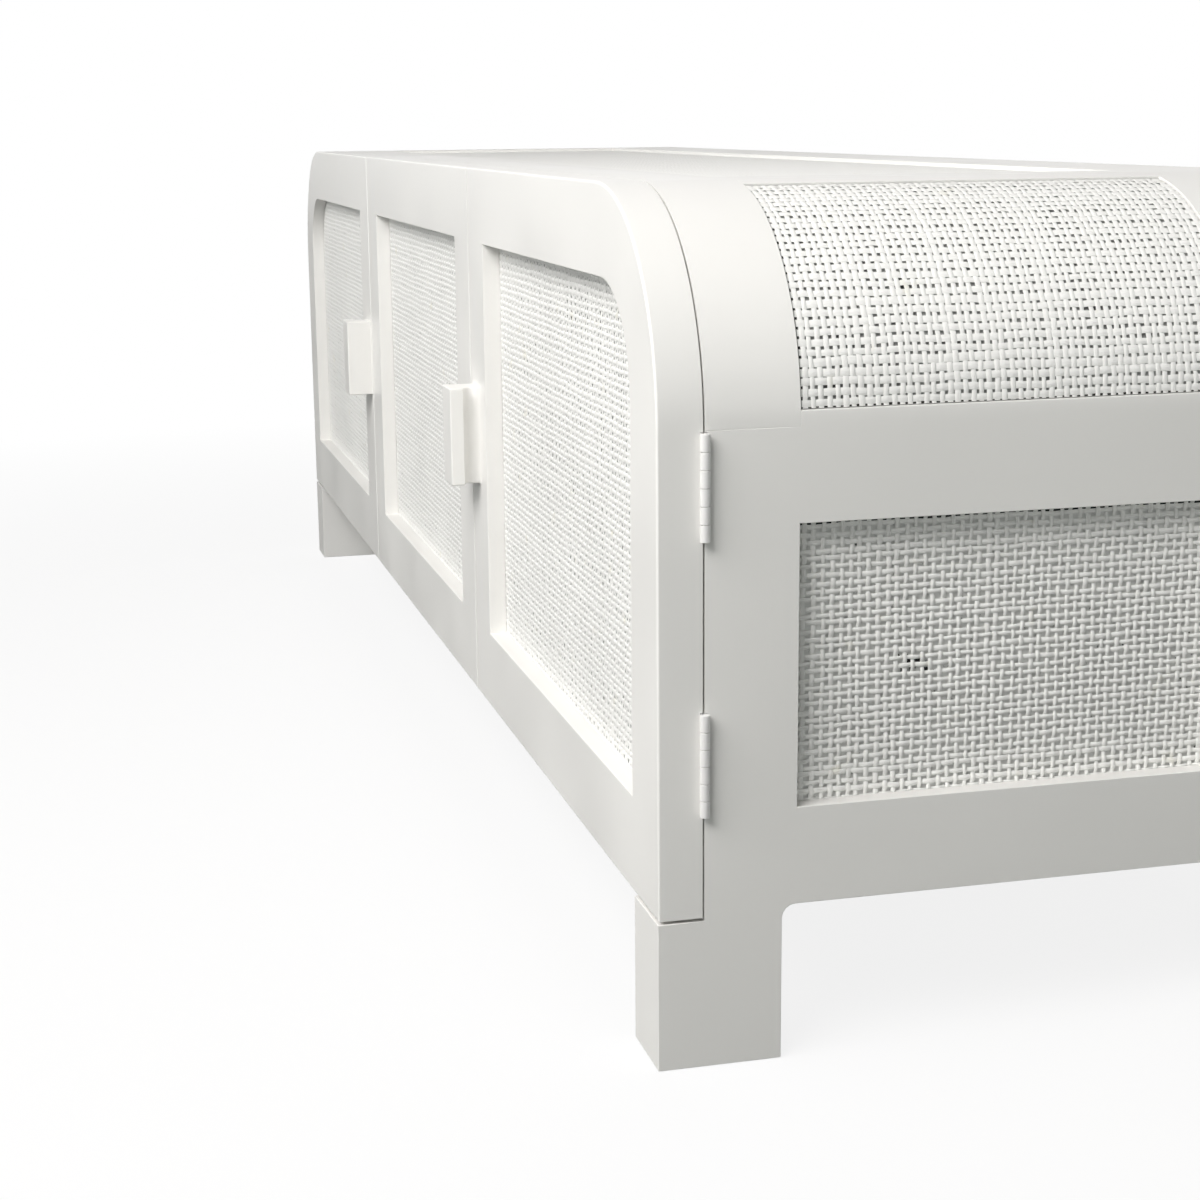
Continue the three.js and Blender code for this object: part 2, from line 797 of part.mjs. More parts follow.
function hingeCup(z) {
  const back = doorThickness + cupFlangeThickness;
  const cup = rod('y', cupRadius, cupX, z, doorThickness - cupDepth, back, roundSteps);
  const rim = rod('y', cupRadius + cupFlange, cupX, z, doorThickness, back, roundSteps);
  const wings = block(
    [cupX - cupWingHeight, cupX + cupWingHeight / 2],
    [doorThickness, back],
    [z - cupWingWidth / 2, z + cupWingWidth / 2]);
  const hollow = rod(
    'y', cupRadius - cupWall, cupX, z,
    doorThickness - cupDepth + cupWall, back + overrun, roundSteps);
  return cut(join(cup, rim, wings), hollow);
}

function hingeArm(z) {
  const face = partitionFaces[0] - fit;
  const front = doorThickness + armClearance;
  const tip = cupX + cupRadius - armThickness;
  const across = [z - armWidth / 2, z + armWidth / 2];
  const reach = block([tip, face], [front, front + armThickness], across);
  const bar = block(
    [face - armThickness - armPlateThickness, face - armPlateThickness],
    [front, front + armLength],
    across);
  const plate = block(
    [face - armPlateThickness, face],
    [front + armPlateLength, front + armPlateLength + armPlateWidth / 2],
    [z - armPlateWidth / 2, z + armPlateWidth / 2]);
  const spine = block([face - armPlateThickness, face], [front, front + armLength], across);
  return join(reach, bar, plate, spine);
}

['lower', 'upper'].forEach((place, index) => {
  add(`${place}_hinge_cup`, hingeCup(cupZ[index]), steel);
  add(`${place}_hinge_arm`, hingeArm(cupZ[index]), steel);
});

export default unit;
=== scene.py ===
"""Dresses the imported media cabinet: painted joinery, woven cane, hinges, handles, light and camera."""

import json
import logging
import math
import random
from contextlib import contextmanager
from dataclasses import dataclass, field
from enum import Enum
from functools import partial
from typing import Callable, Iterator

import bmesh
import bpy
import numpy as np
from mathutils import Matrix, Vector

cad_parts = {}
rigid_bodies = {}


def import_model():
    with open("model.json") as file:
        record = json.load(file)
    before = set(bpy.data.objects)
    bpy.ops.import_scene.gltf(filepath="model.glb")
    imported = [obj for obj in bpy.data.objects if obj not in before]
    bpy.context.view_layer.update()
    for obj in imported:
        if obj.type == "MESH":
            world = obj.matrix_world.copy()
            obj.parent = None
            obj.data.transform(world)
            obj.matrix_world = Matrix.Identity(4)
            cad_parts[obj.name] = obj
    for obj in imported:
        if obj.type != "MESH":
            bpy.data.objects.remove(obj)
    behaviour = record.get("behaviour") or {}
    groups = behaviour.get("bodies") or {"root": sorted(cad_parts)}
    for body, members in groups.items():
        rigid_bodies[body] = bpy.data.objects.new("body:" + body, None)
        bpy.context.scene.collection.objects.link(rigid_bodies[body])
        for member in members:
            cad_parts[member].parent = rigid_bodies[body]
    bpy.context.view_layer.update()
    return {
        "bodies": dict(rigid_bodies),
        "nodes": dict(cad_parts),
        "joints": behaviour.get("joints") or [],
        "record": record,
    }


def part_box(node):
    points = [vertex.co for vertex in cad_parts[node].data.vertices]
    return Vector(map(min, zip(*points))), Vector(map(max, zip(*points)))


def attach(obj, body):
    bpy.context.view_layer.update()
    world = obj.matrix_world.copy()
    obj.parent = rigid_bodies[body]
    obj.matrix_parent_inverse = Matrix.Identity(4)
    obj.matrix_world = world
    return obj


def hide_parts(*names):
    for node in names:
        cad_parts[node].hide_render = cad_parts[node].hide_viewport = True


Piece, Tree, Socket = bpy.types.Object, bpy.types.NodeTree, bpy.types.NodeSocket
Edge = bmesh.types.BMEdge

log = logging.getLogger("cabinet")

MM = 0.001
CURVE_X, CURVE_Z = 0.67, 0.37  # centre of the curve at each end, from the middle and from the floor
CUP_INSET = 20.5 * MM  # from the edge of a concealed hinge's cup plate to the cup's centre
CATCHES = {"right": 0.309, "middle": -0.225, "left": -0.309}  # X of each door's catch
BROAD_WAVES = 9.0  # per metre, of the slow change of tone and gloss over a finish
BUMP_DEPTH = 0.4 * MM


class Axis(Enum):
    """A direction of the row frame."""

    X = 0
    Y = 1
    Z = 2


class Side(Enum):
    """The end of the cabinet that a piece belongs to; the value is the sign of its X."""

    RIGHT = 1
    LEFT = -1

    @property
    def word(self) -> str:
        """The side's word in the node names."""
        return self.name.lower()


# ---- Finishes


@dataclass(frozen=True)
class Finish:
    """A surface finish whose node tree is built once and then shared.

    Attributes:
        name: The material's name.
        tone: Base colour, linear.
        roughness: Middle roughness.
        sheen_break: How far the roughness wanders about its middle.
        metallic: 0 for paint, 1 for bare metal.
        grain: Size of the fine surface texture, in waves per metre.
        relief: Strength of the fine texture's bump.
        mottle: How far the tone wanders over the surface.
    """

    name: str
    tone: tuple[float, float, float]
    roughness: float = 0.4
    sheen_break: float = 0.08
    metallic: float = 0.0
    grain: float = 900.0
    relief: float = 0.05
    mottle: float = 0.02

    def material(self) -> bpy.types.Material:
        """Finds the finish's material, or builds it at the first call.

        Returns:
            The shared material.
        """
        found = bpy.data.materials.get(self.name)
        if found:
            return found
        made = bpy.data.materials.new(self.name)
        made.use_nodes = True
        self.wire(made.node_tree)
        return made

    def wire(self, tree: Tree) -> None:
        """Wires tone, roughness and bump into the tree's own shader.

        Args:
            tree: A new material's node tree.
        """
        shader = tree.nodes["Principled BSDF"]
        shader.inputs["Metallic"].default_value = self.metallic
        place = tree.nodes.new("ShaderNodeTexCoord").outputs["Object"]
        broad = self.noise(tree, place, BROAD_WAVES, 3.0)
        fine = self.noise(tree, place, self.grain, 2.0)
        tone = self.tones(tree, place, broad)
        tree.links.new(tone, shader.inputs["Base Color"])
        low, high = self.roughness - self.sheen_break, self.roughness + self.sheen_break
        tree.links.new(self.ramp(tree, broad, 0.3, 0.7, low, high), shader.inputs["Roughness"])
        bump = tree.nodes.new("ShaderNodeBump")
        bump.inputs["Strength"].default_value = self.relief
        bump.inputs["Distance"].default_value = BUMP_DEPTH
        tree.links.new(self.height(tree, place, fine), bump.inputs["Height"])
        tree.links.new(bump.outputs["Normal"], shader.inputs["Normal"])

    def tones(self, tree: Tree, place: Socket, broad: Socket) -> Socket:
        """Makes the tone a little darker and lighter in broad patches.

        Args:
            tree: The material's node tree.
            place: The object coordinates.
            broad: The broad noise's value.

        Returns:
            The colour.
        """
        ramp = tree.nodes.new("ShaderNodeValToRGB")
        for stop, share in zip(ramp.color_ramp.elements, (1 - self.mottle, 1 + self.mottle)):
            stop.color = (*(min(1.0, part * share) for part in self.tone), 1)
        tree.links.new(broad, ramp.inputs["Fac"])
        return ramp.outputs["Color"]

    def height(self, tree: Tree, place: Socket, fine: Socket) -> Socket:
        """Returns the socket that drives the bump."""
        return fine

    @staticmethod
    def noise(tree: Tree, place: Socket, scale: float, detail: float) -> Socket:
        """Adds a noise texture.

        Args:
            tree: The tree to add it to.
            place: The coordinates it reads.
            scale: Waves per metre.
            detail: Octaves.

        Returns:
            The noise's value, from 0 to 1.
        """
        node = tree.nodes.new("ShaderNodeTexNoise")
        node.inputs["Scale"].default_value = scale
        node.inputs["Detail"].default_value = detail
        tree.links.new(place, node.inputs["Vector"])
        return node.outputs["Fac"]

    @staticmethod
    def ramp(tree: Tree, value: Socket, start: float, end: float,
             low: float = 0.0, high: float = 1.0) -> Socket:
        """Maps a value between start and end onto low to high.

        Args:
            tree: The tree to add it to.
            value: The value to map.
            start: The value that becomes low.
            end: The value that becomes high.
            low: The result at start.
            high: The result at end.

        Returns:
            The mapped value.
        """
        node = tree.nodes.new("ShaderNodeMapRange")
        for key, number in (("From Min", start), ("From Max", end), ("To Min", low), ("To Max", high)):
            node.inputs[key].default_value = number
        tree.links.new(value, node.inputs["Value"])
        return node.outputs["Result"]


@dataclass(frozen=True)
class BrushedPaint(Finish):
    """Satin paint laid off by brush and roller: fine stipple with faint long strokes.

    Attributes:
        stroke: How strongly the strokes show beside the stipple.
        stretch: The strokes' share of the stipple's scale along X, Y and Z.
    """

    stroke: float = 0.5
    stretch: tuple[float, float, float] = (0.03, 0.6, 0.6)

    def height(self, tree: Tree, place: Socket, fine: Socket) -> Socket:
        """Mixes strokes into the stipple.

        Args:
            tree: The material's node tree.
            place: The object coordinates.
            fine: The fine noise's value.

        Returns:
            The value that drives the bump.
        """
        mapping = tree.nodes.new("ShaderNodeMapping")
        mapping.inputs["Scale"].default_value = self.stretch
        tree.links.new(place, mapping.inputs["Vector"])
        strokes = self.noise(tree, mapping.outputs["Vector"], self.grain, 1.0)
        mix = tree.nodes.new("ShaderNodeMix")
        mix.inputs["Factor"].default_value = self.stroke
        tree.links.new(fine, mix.inputs["A"])
        tree.links.new(strokes, mix.inputs["B"])
        return mix.outputs["Result"]


@dataclass(frozen=True)
class SpeckledPaint(Finish):
    """Paint over cane or its lining, with small patches of a second colour: on cane the cane under thin
    paint, on the dark linings painted shade.

    Attributes:
        ground: The patches' colour: on cane the cane under thin paint, on the dark linings a near-black
            painted shade.
        thin_from: Noise value above which the patch colour starts to show.
        thin_to: Noise value at which the patch colour shows as it is.
        patch: Size of the patches, in waves per metre.
        spot: Centre of a place where the patches gather, in metres, if any.
        spot_reach: Half that place's lengths along X, Y and Z.
        corners: Strips of painted shade along edges next to the frame: axis, where the shade starts, where
            it is full.
    """

    ground: tuple[float, float, float] = (0.6, 0.5, 0.36)
    thin_from: float = 0.66
    thin_to: float = 0.95
    patch: float = 60.0
    spot: tuple[float, float, float] | None = None
    spot_reach: tuple[float, float, float] = (0.02, 0.022, 0.011)
    corners: tuple[tuple[Axis, float, float], ...] = ()

    def tones(self, tree: Tree, place: Socket, broad: Socket) -> Socket:
        """Mixes the patch colour into the painted tone in noise patches, round the spot, and along the
        strips of painted shade.

        Args:
            tree: The material's node tree.
            place: The object coordinates.
            broad: The broad noise's value.

        Returns:
            The colour.
        """
        base = super().tones(tree, place, broad)
        patches = self.noise(tree, place, self.patch, 4.0)
        if self.spot:
            patches = self.joined(tree, "ADD", patches, self.round_the_spot(tree, place))
        patch_and_shade_share = self.ramp(tree, patches, self.thin_from, self.thin_to)
        if self.corners:
            parts = tree.nodes.new("ShaderNodeSeparateXYZ")
            tree.links.new(place, parts.inputs[0])
            # Each strip darkens towards the frame's edge as painted shade.
            for axis, painted, shaded in self.corners:
                strip = self.ramp(tree, parts.outputs[axis.value], painted, shaded)
                patch_and_shade_share = self.joined(tree, "MAXIMUM", patch_and_shade_share, strip)
        mix = tree.nodes.new("ShaderNodeMix")
        mix.data_type = "RGBA"
        tree.links.new(patch_and_shade_share, mix.inputs["Factor"])
        tree.links.new(base, mix.inputs["A"])
        mix.inputs["B"].default_value = (*self.ground, 1)
        return mix.outputs["Result"]

    def round_the_spot(self, tree: Tree, place: Socket) -> Socket:
        """Measures how near a point is to the centre of the spot.

        Args:
            tree: The material's node tree.
            place: The object coordinates.

        Returns:
            0 at the spot's rim and beyond, rising towards its centre.
        """
        inside = tree.nodes.new("ShaderNodeMapping")
        inside.vector_type = "TEXTURE"
        inside.inputs["Location"].default_value = self.spot
        inside.inputs["Scale"].default_value = self.spot_reach
        tree.links.new(place, inside.inputs["Vector"])
        apart = tree.nodes.new("ShaderNodeVectorMath")
        apart.operation = "LENGTH"
        tree.links.new(inside.outputs["Vector"], apart.inputs[0])
        return self.ramp(tree, apart.outputs["Value"], 1.0, 0.3, 0.0, 0.2)

    @staticmethod
    def joined(tree: Tree, way: str, one: Socket, two: Socket) -> Socket:
        """Joins two values by a Math operation.

        Args:
            tree: The tree to add the node to.
            way: The operation's name.
            one: The first value.
            two: The second value.

        Returns:
            The joined value.
        """
        node = tree.nodes.new("ShaderNodeMath")
        node.operation = way
        tree.links.new(one, node.inputs[0])
        tree.links.new(two, node.inputs[1])
        return node.outputs["Value"]


JOINERY = BrushedPaint("joinery_paint", (0.83, 0.82, 0.795), roughness=0.38, relief=0.1)
BOARD = BrushedPaint("board_paint", (0.80, 0.79, 0.765), roughness=0.5, grain=1300.0, relief=0.12,
                     stroke=0.2)
# White paint of the end, curve and top cane. This is the real paint, with its tone set above the joinery's
# as painted light on the self-shadowed strands; its patches are the cane under thin paint.
CANE = SpeckledPaint("cane_paint", (0.89, 0.885, 0.86), roughness=0.5, grain=2600.0, relief=0.3,
                     mottle=0.03, ground=(0.76, 0.73, 0.6), thin_from=0.66, thin_to=0.9)
# The same white cane paint on the doors, darkened as painted shade.
DOOR_CANE_SHADED = SpeckledPaint("door_cane_paint", (0.79, 0.785, 0.765), roughness=0.5, grain=2600.0, relief=0.3,
                          mottle=0.03, ground=(0.74, 0.71, 0.58), thin_from=0.66, thin_to=0.9)
# Dark grey lining behind the doors' and the left end's cane, with near-black patches: painted shade in the
# holes between the strands.
LINING_SHADE = SpeckledPaint("lining_paint", (0.42, 0.42, 0.405), roughness=0.8, grain=1500.0, relief=0.3,
                       mottle=0.08, ground=(0.12, 0.12, 0.115), thin_from=0.54, thin_to=0.7)
TOP_LINING = SpeckledPaint("top_lining_paint", (0.8, 0.8, 0.78), roughness=0.8, grain=1500.0, relief=0.3,
                           mottle=0.05, ground=(0.5, 0.5, 0.48), thin_from=0.6, thin_to=0.8)
# Grey lining under the curved cane, with near-black patches and dark strips along its lower and front
# edges: painted shade in the holes and next to the frame.
CURVE_LINING_SHADE = SpeckledPaint("curve_lining_paint", (0.5, 0.5, 0.49), roughness=0.8, grain=1500.0,
                             relief=0.3, mottle=0.08, ground=(0.07, 0.07, 0.065), thin_from=0.5,
                             thin_to=0.72, corners=((Axis.Z, 0.3822, 0.3812), (Axis.Y, -0.1178, -0.1188)))
# White lining behind the right end's cane, with a dark strip along its top as painted shade under the rail,
# and near-black patches that gather round one spot.
END_LINING_TOP_SHADE = SpeckledPaint("end_lining_paint", (0.88, 0.88, 0.86), roughness=0.8, grain=1500.0, relief=0.3,
                           mottle=0.05, ground=(0.025, 0.025, 0.023), thin_from=0.68, thin_to=0.74,
                           patch=260.0, spot=(0.785, -0.042, 0.226), corners=((Axis.Z, 0.3105, 0.3125),))
HINGE_PAINT = BrushedPaint("hinge_paint", (0.83, 0.82, 0.80), roughness=0.28, relief=0.06, grain=1600.0)
PLATED = Finish("nickel_plate", (0.58, 0.59, 0.60), roughness=0.3, metallic=1.0, grain=2500.0, relief=0.05,
                mottle=0.06)
SCREW = Finish("screw_steel", (0.47, 0.47, 0.46), roughness=0.35, metallic=1.0, grain=3000.0, relief=0.08,
               mottle=0.1)
MAGNET = Finish("magnet_block", (0.05, 0.05, 0.052), roughness=0.55, grain=1800.0, relief=0.2, mottle=0.2)


# ---- Boxes and modelling tools


@dataclass
class Span:
    """An upright box, in metres.

    Attributes:
        low: Its lowest corner.
        high: Its highest corner.
    """

    low: Vector
    high: Vector

    @classmethod
    def around(cls, *nodes: str) -> "Span":
        """Finds the box round some CAD nodes at rest.

        Args:
            *nodes: The nodes' names.

        Returns:
            The box.
        """
        boxes = [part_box(node) for node in nodes]
        low = Vector([min(box[0][part] for box in boxes) for part in range(3)])
        high = Vector([max(box[1][part] for box in boxes) for part in range(3)])
        return cls(low, high)

    @property
    def middle(self) -> Vector:
        """The box's centre."""
        return (self.low + self.high) / 2

    @property
    def size(self) -> Vector:
        """The box's three lengths."""
        return self.high - self.low

    def edge(self, side: Side) -> float:
        """Returns X of the box's face toward one end of the cabinet."""
        return self.high.x if side is Side.RIGHT else self.low.x


def deselect() -> None:
    """Ends edit mode and leaves nothing selected or active."""
    if bpy.context.object and bpy.context.object.mode != "OBJECT":
        bpy.ops.object.mode_set(mode="OBJECT")
    bpy.ops.object.select_all(action="DESELECT")


def choose(piece: Piece) -> Piece:
    """Makes a piece the only one that is selected and active.

    Args:
        piece: The piece.

    Returns:
        The same piece.
    """
    deselect()
    piece.select_set(True)
    bpy.context.view_layer.objects.active = piece
    return piece


@contextmanager
def editing(piece: Piece) -> Iterator[Piece]:
    """Opens a piece in edit mode with nothing selected, and closes it after the block.

    Args:
        piece: The piece.

    Yields:
        The same piece, in edit mode.
    """
    choose(piece)
    bpy.ops.object.mode_set(mode="EDIT")
    bpy.ops.mesh.select_mode(type="VERT")
    bpy.ops.mesh.select_all(action="DESELECT")
    yield piece
    bpy.ops.object.mode_set(mode="OBJECT")


def pick(piece: Piece, faces: Callable | None = None, edges: Callable | None = None,
         verts: Callable | None = None) -> int:
    """Selects what passes a test, in edit mode.

    Args:
        piece: The piece that is being edited.
        faces: Test of a face.
        edges: Test of an edge.
        verts: Test of a vertex.

    Returns:
        How many were picked.
    """
    mode = "FACE" if faces else "EDGE" if edges else "VERT"
    bpy.ops.mesh.select_mode(type=mode)
    bpy.ops.mesh.select_all(action="DESELECT")
    mesh = bmesh.from_edit_mesh(piece.data)
    mesh.normal_update()
    pool, test = (mesh.faces, faces) if faces else (mesh.edges, edges) if edges else (mesh.verts, verts)
    chosen = [part for part in pool if test(part)]
    for part in chosen:
        part.select_set(True)
    mesh.select_flush_mode()
    bmesh.update_edit_mesh(piece.data)
    return len(chosen)


def middle_of(edge: Edge) -> Vector:
    """Returns an edge's midpoint."""
    return (edge.verts[0].co + edge.verts[1].co) / 2


def upright_at(x: float, z: float) -> Callable[[Edge], bool]:
    """Returns a test of whether an edge's midpoint lies at X and Z, at any Y."""
    return lambda e: abs(middle_of(e).x - x) < MM and abs(middle_of(e).z - z) < MM


def spots_of(piece: Piece) -> np.ndarray:
    """Reads where a mesh's points are.

    Args:
        piece: The piece.

    Returns:
        One row of X, Y and Z for each point.
    """
    flat = np.zeros(len(piece.data.vertices) * 3)
    piece.data.vertices.foreach_get("co", flat)
    return flat.reshape(-1, 3)


def move_to(piece: Piece, spots: np.ndarray) -> None:
    """Puts a mesh's points where an array's rows say."""
    piece.data.vertices.foreach_set("co", spots.ravel())
    piece.data.update()


def settle(piece: Piece) -> Piece:
    """Puts a piece's place, turn and scale into its mesh.

    Args:
        piece: The piece.

    Returns:
        The same piece.
    """
    choose(piece)
    bpy.ops.object.transform_apply(location=True, rotation=True, scale=True)
    return piece


def block(name: str, span: Span) -> Piece:
    """Adds a cube at the size and place of a box.

    Args:
        name: The piece's name.
        span: The box.

    Returns:
        The new piece.
    """
    deselect()
    bpy.ops.mesh.primitive_cube_add(size=1, location=span.middle, scale=span.size)
    piece = bpy.context.object
    piece.name = name
    return settle(piece)


def disc(name: str, axis: Axis, radius: float, centre: Vector, length: float, sides: int = 24) -> Piece:
    """Adds a cylinder along an axis.

    Args:
        name: The piece's name.
        axis: Its direction.
        radius: Its radius.
        centre: Its middle.
        length: Its length.
        sides: Facets round it.

    Returns:
        The new piece.
    """
    turn = {Axis.X: (0, math.pi / 2, 0), Axis.Y: (math.pi / 2, 0, 0), Axis.Z: (0, 0, 0)}[axis]
    deselect()
    bpy.ops.mesh.primitive_cylinder_add(
        vertices=sides, radius=radius, depth=length, location=centre, rotation=turn)
    piece = bpy.context.object
    piece.name = name
    return settle(piece)


def apply(piece: Piece, kind: str, **settings: object) -> Piece:
    """Adds a modifier with its settings and applies it.

    Args:
        piece: The piece.
        kind: The modifier's type.
        **settings: Its settings.

    Returns:
        The same piece.
    """
    choose(piece)
    modifier = piece.modifiers.new(kind.lower(), kind)
    for key, value in settings.items():
        setattr(modifier, key, value)
    bpy.ops.object.modifier_apply(modifier=modifier.name)
    return piece


def carve(piece: Piece, *cutters: Piece, way: str = "DIFFERENCE") -> Piece:
    """Cuts the cutters from a piece, or adds them, and deletes them.

    Args:
        piece: The piece.
        *cutters: What is cut away or added.
        way: DIFFERENCE to cut, UNION to add.

    Returns:
        The same piece.
    """
    for cutter in cutters:
        apply(piece, "BOOLEAN", object=cutter, operation=way, solver="EXACT")
        bpy.data.objects.remove(cutter)
    return piece


def merge(name: str, pieces: list[Piece]) -> Piece:
    """Joins pieces into one object, without changing their shapes.

    Args:
        name: The joined piece's name.
        pieces: The pieces, at least one.

    Returns:
        The joined piece.
    """
    choose(pieces[0])
    for piece in pieces:
        piece.select_set(True)
    if len(pieces) > 1:
        bpy.ops.object.join()
    pieces[0].name = name
    return pieces[0]


def copy_of(piece: Piece, name: str, shift: Vector = Vector()) -> Piece:
    """Copies a piece with its own mesh.

    Args:
        piece: The piece.
        name: The copy's name.
        shift: How far the copy is moved.

    Returns:
        The copy.
    """
    twin = piece.copy()
    twin.data = piece.data.copy()
    twin.name = name
    bpy.context.scene.collection.objects.link(twin)
    twin.data.transform(Matrix.Translation(shift))
    return twin


def smooth(piece: Piece, degrees: float = 32.0) -> Piece:
    """Shades a piece smooth, except over its sharper edges.

    Args:
        piece: The piece.
        degrees: The angle from which an edge counts as sharp.

    Returns:
        The same piece.
    """
    choose(piece)
    bpy.ops.object.shade_smooth_by_angle(angle=math.radians(degrees))
    return piece


def fair(piece: Piece, degrees: float = 32.0) -> Piece:
    """Shades a piece smooth by angle and keeps its broad faces flat beside eased edges."""
    return apply(smooth(outward(piece), degrees), "WEIGHTED_NORMAL", keep_sharp=True)


def outward(piece: Piece) -> Piece:
    """Turns all faces of a piece outwards.

    Args:
        piece: The piece.

    Returns:
        The same piece.
    """
    with editing(piece):
        bpy.ops.mesh.select_all(action="SELECT")
        bpy.ops.mesh.normals_make_consistent(inside=False)
    return piece


def fit_out(piece: Piece, finish: Finish, body: str, slot: str, *nodes: str) -> Piece:
    """Gives a piece its finish and body, and hides the CAD nodes that it replaces.

    Args:
        piece: The finished piece.
        finish: Its finish.
        body: The body it rides on.
        slot: Not used.
        *nodes: The CAD nodes it replaces.

    Returns:
        The same piece.
    """
    piece.data.materials.clear()
    piece.data.materials.append(finish.material())
    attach(piece, body)
    if nodes:
        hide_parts(*nodes)
    log.info("%s on %s, %d faces", piece.name, body, len(piece.data.polygons))
    return piece


# ---- Woven cane

# How hand-laid strands wander, in shares of the pitch where nothing else is said.
STRAY = 0.055  # a whole strand sideways, one standard deviation
SINK = 0.05  # a whole strand up or down, in shares of its thickness
WIDTHS = 0.82, 1.14  # least and greatest share of a strand's width
BEND, BEND_LENGTH = 0.07, 17 * MM
RIPPLE, RIPPLE_LENGTH = 0.035, 4.3 * MM
WAVES = 0.6, 1.4  # least and greatest share of those lengths
HELD, HELD_LENGTH = 0.4, 4 * MM  # the share that is left where the frame holds a strand's end
CROWN = 0.62  # the share of a flat strand's width that its crown has


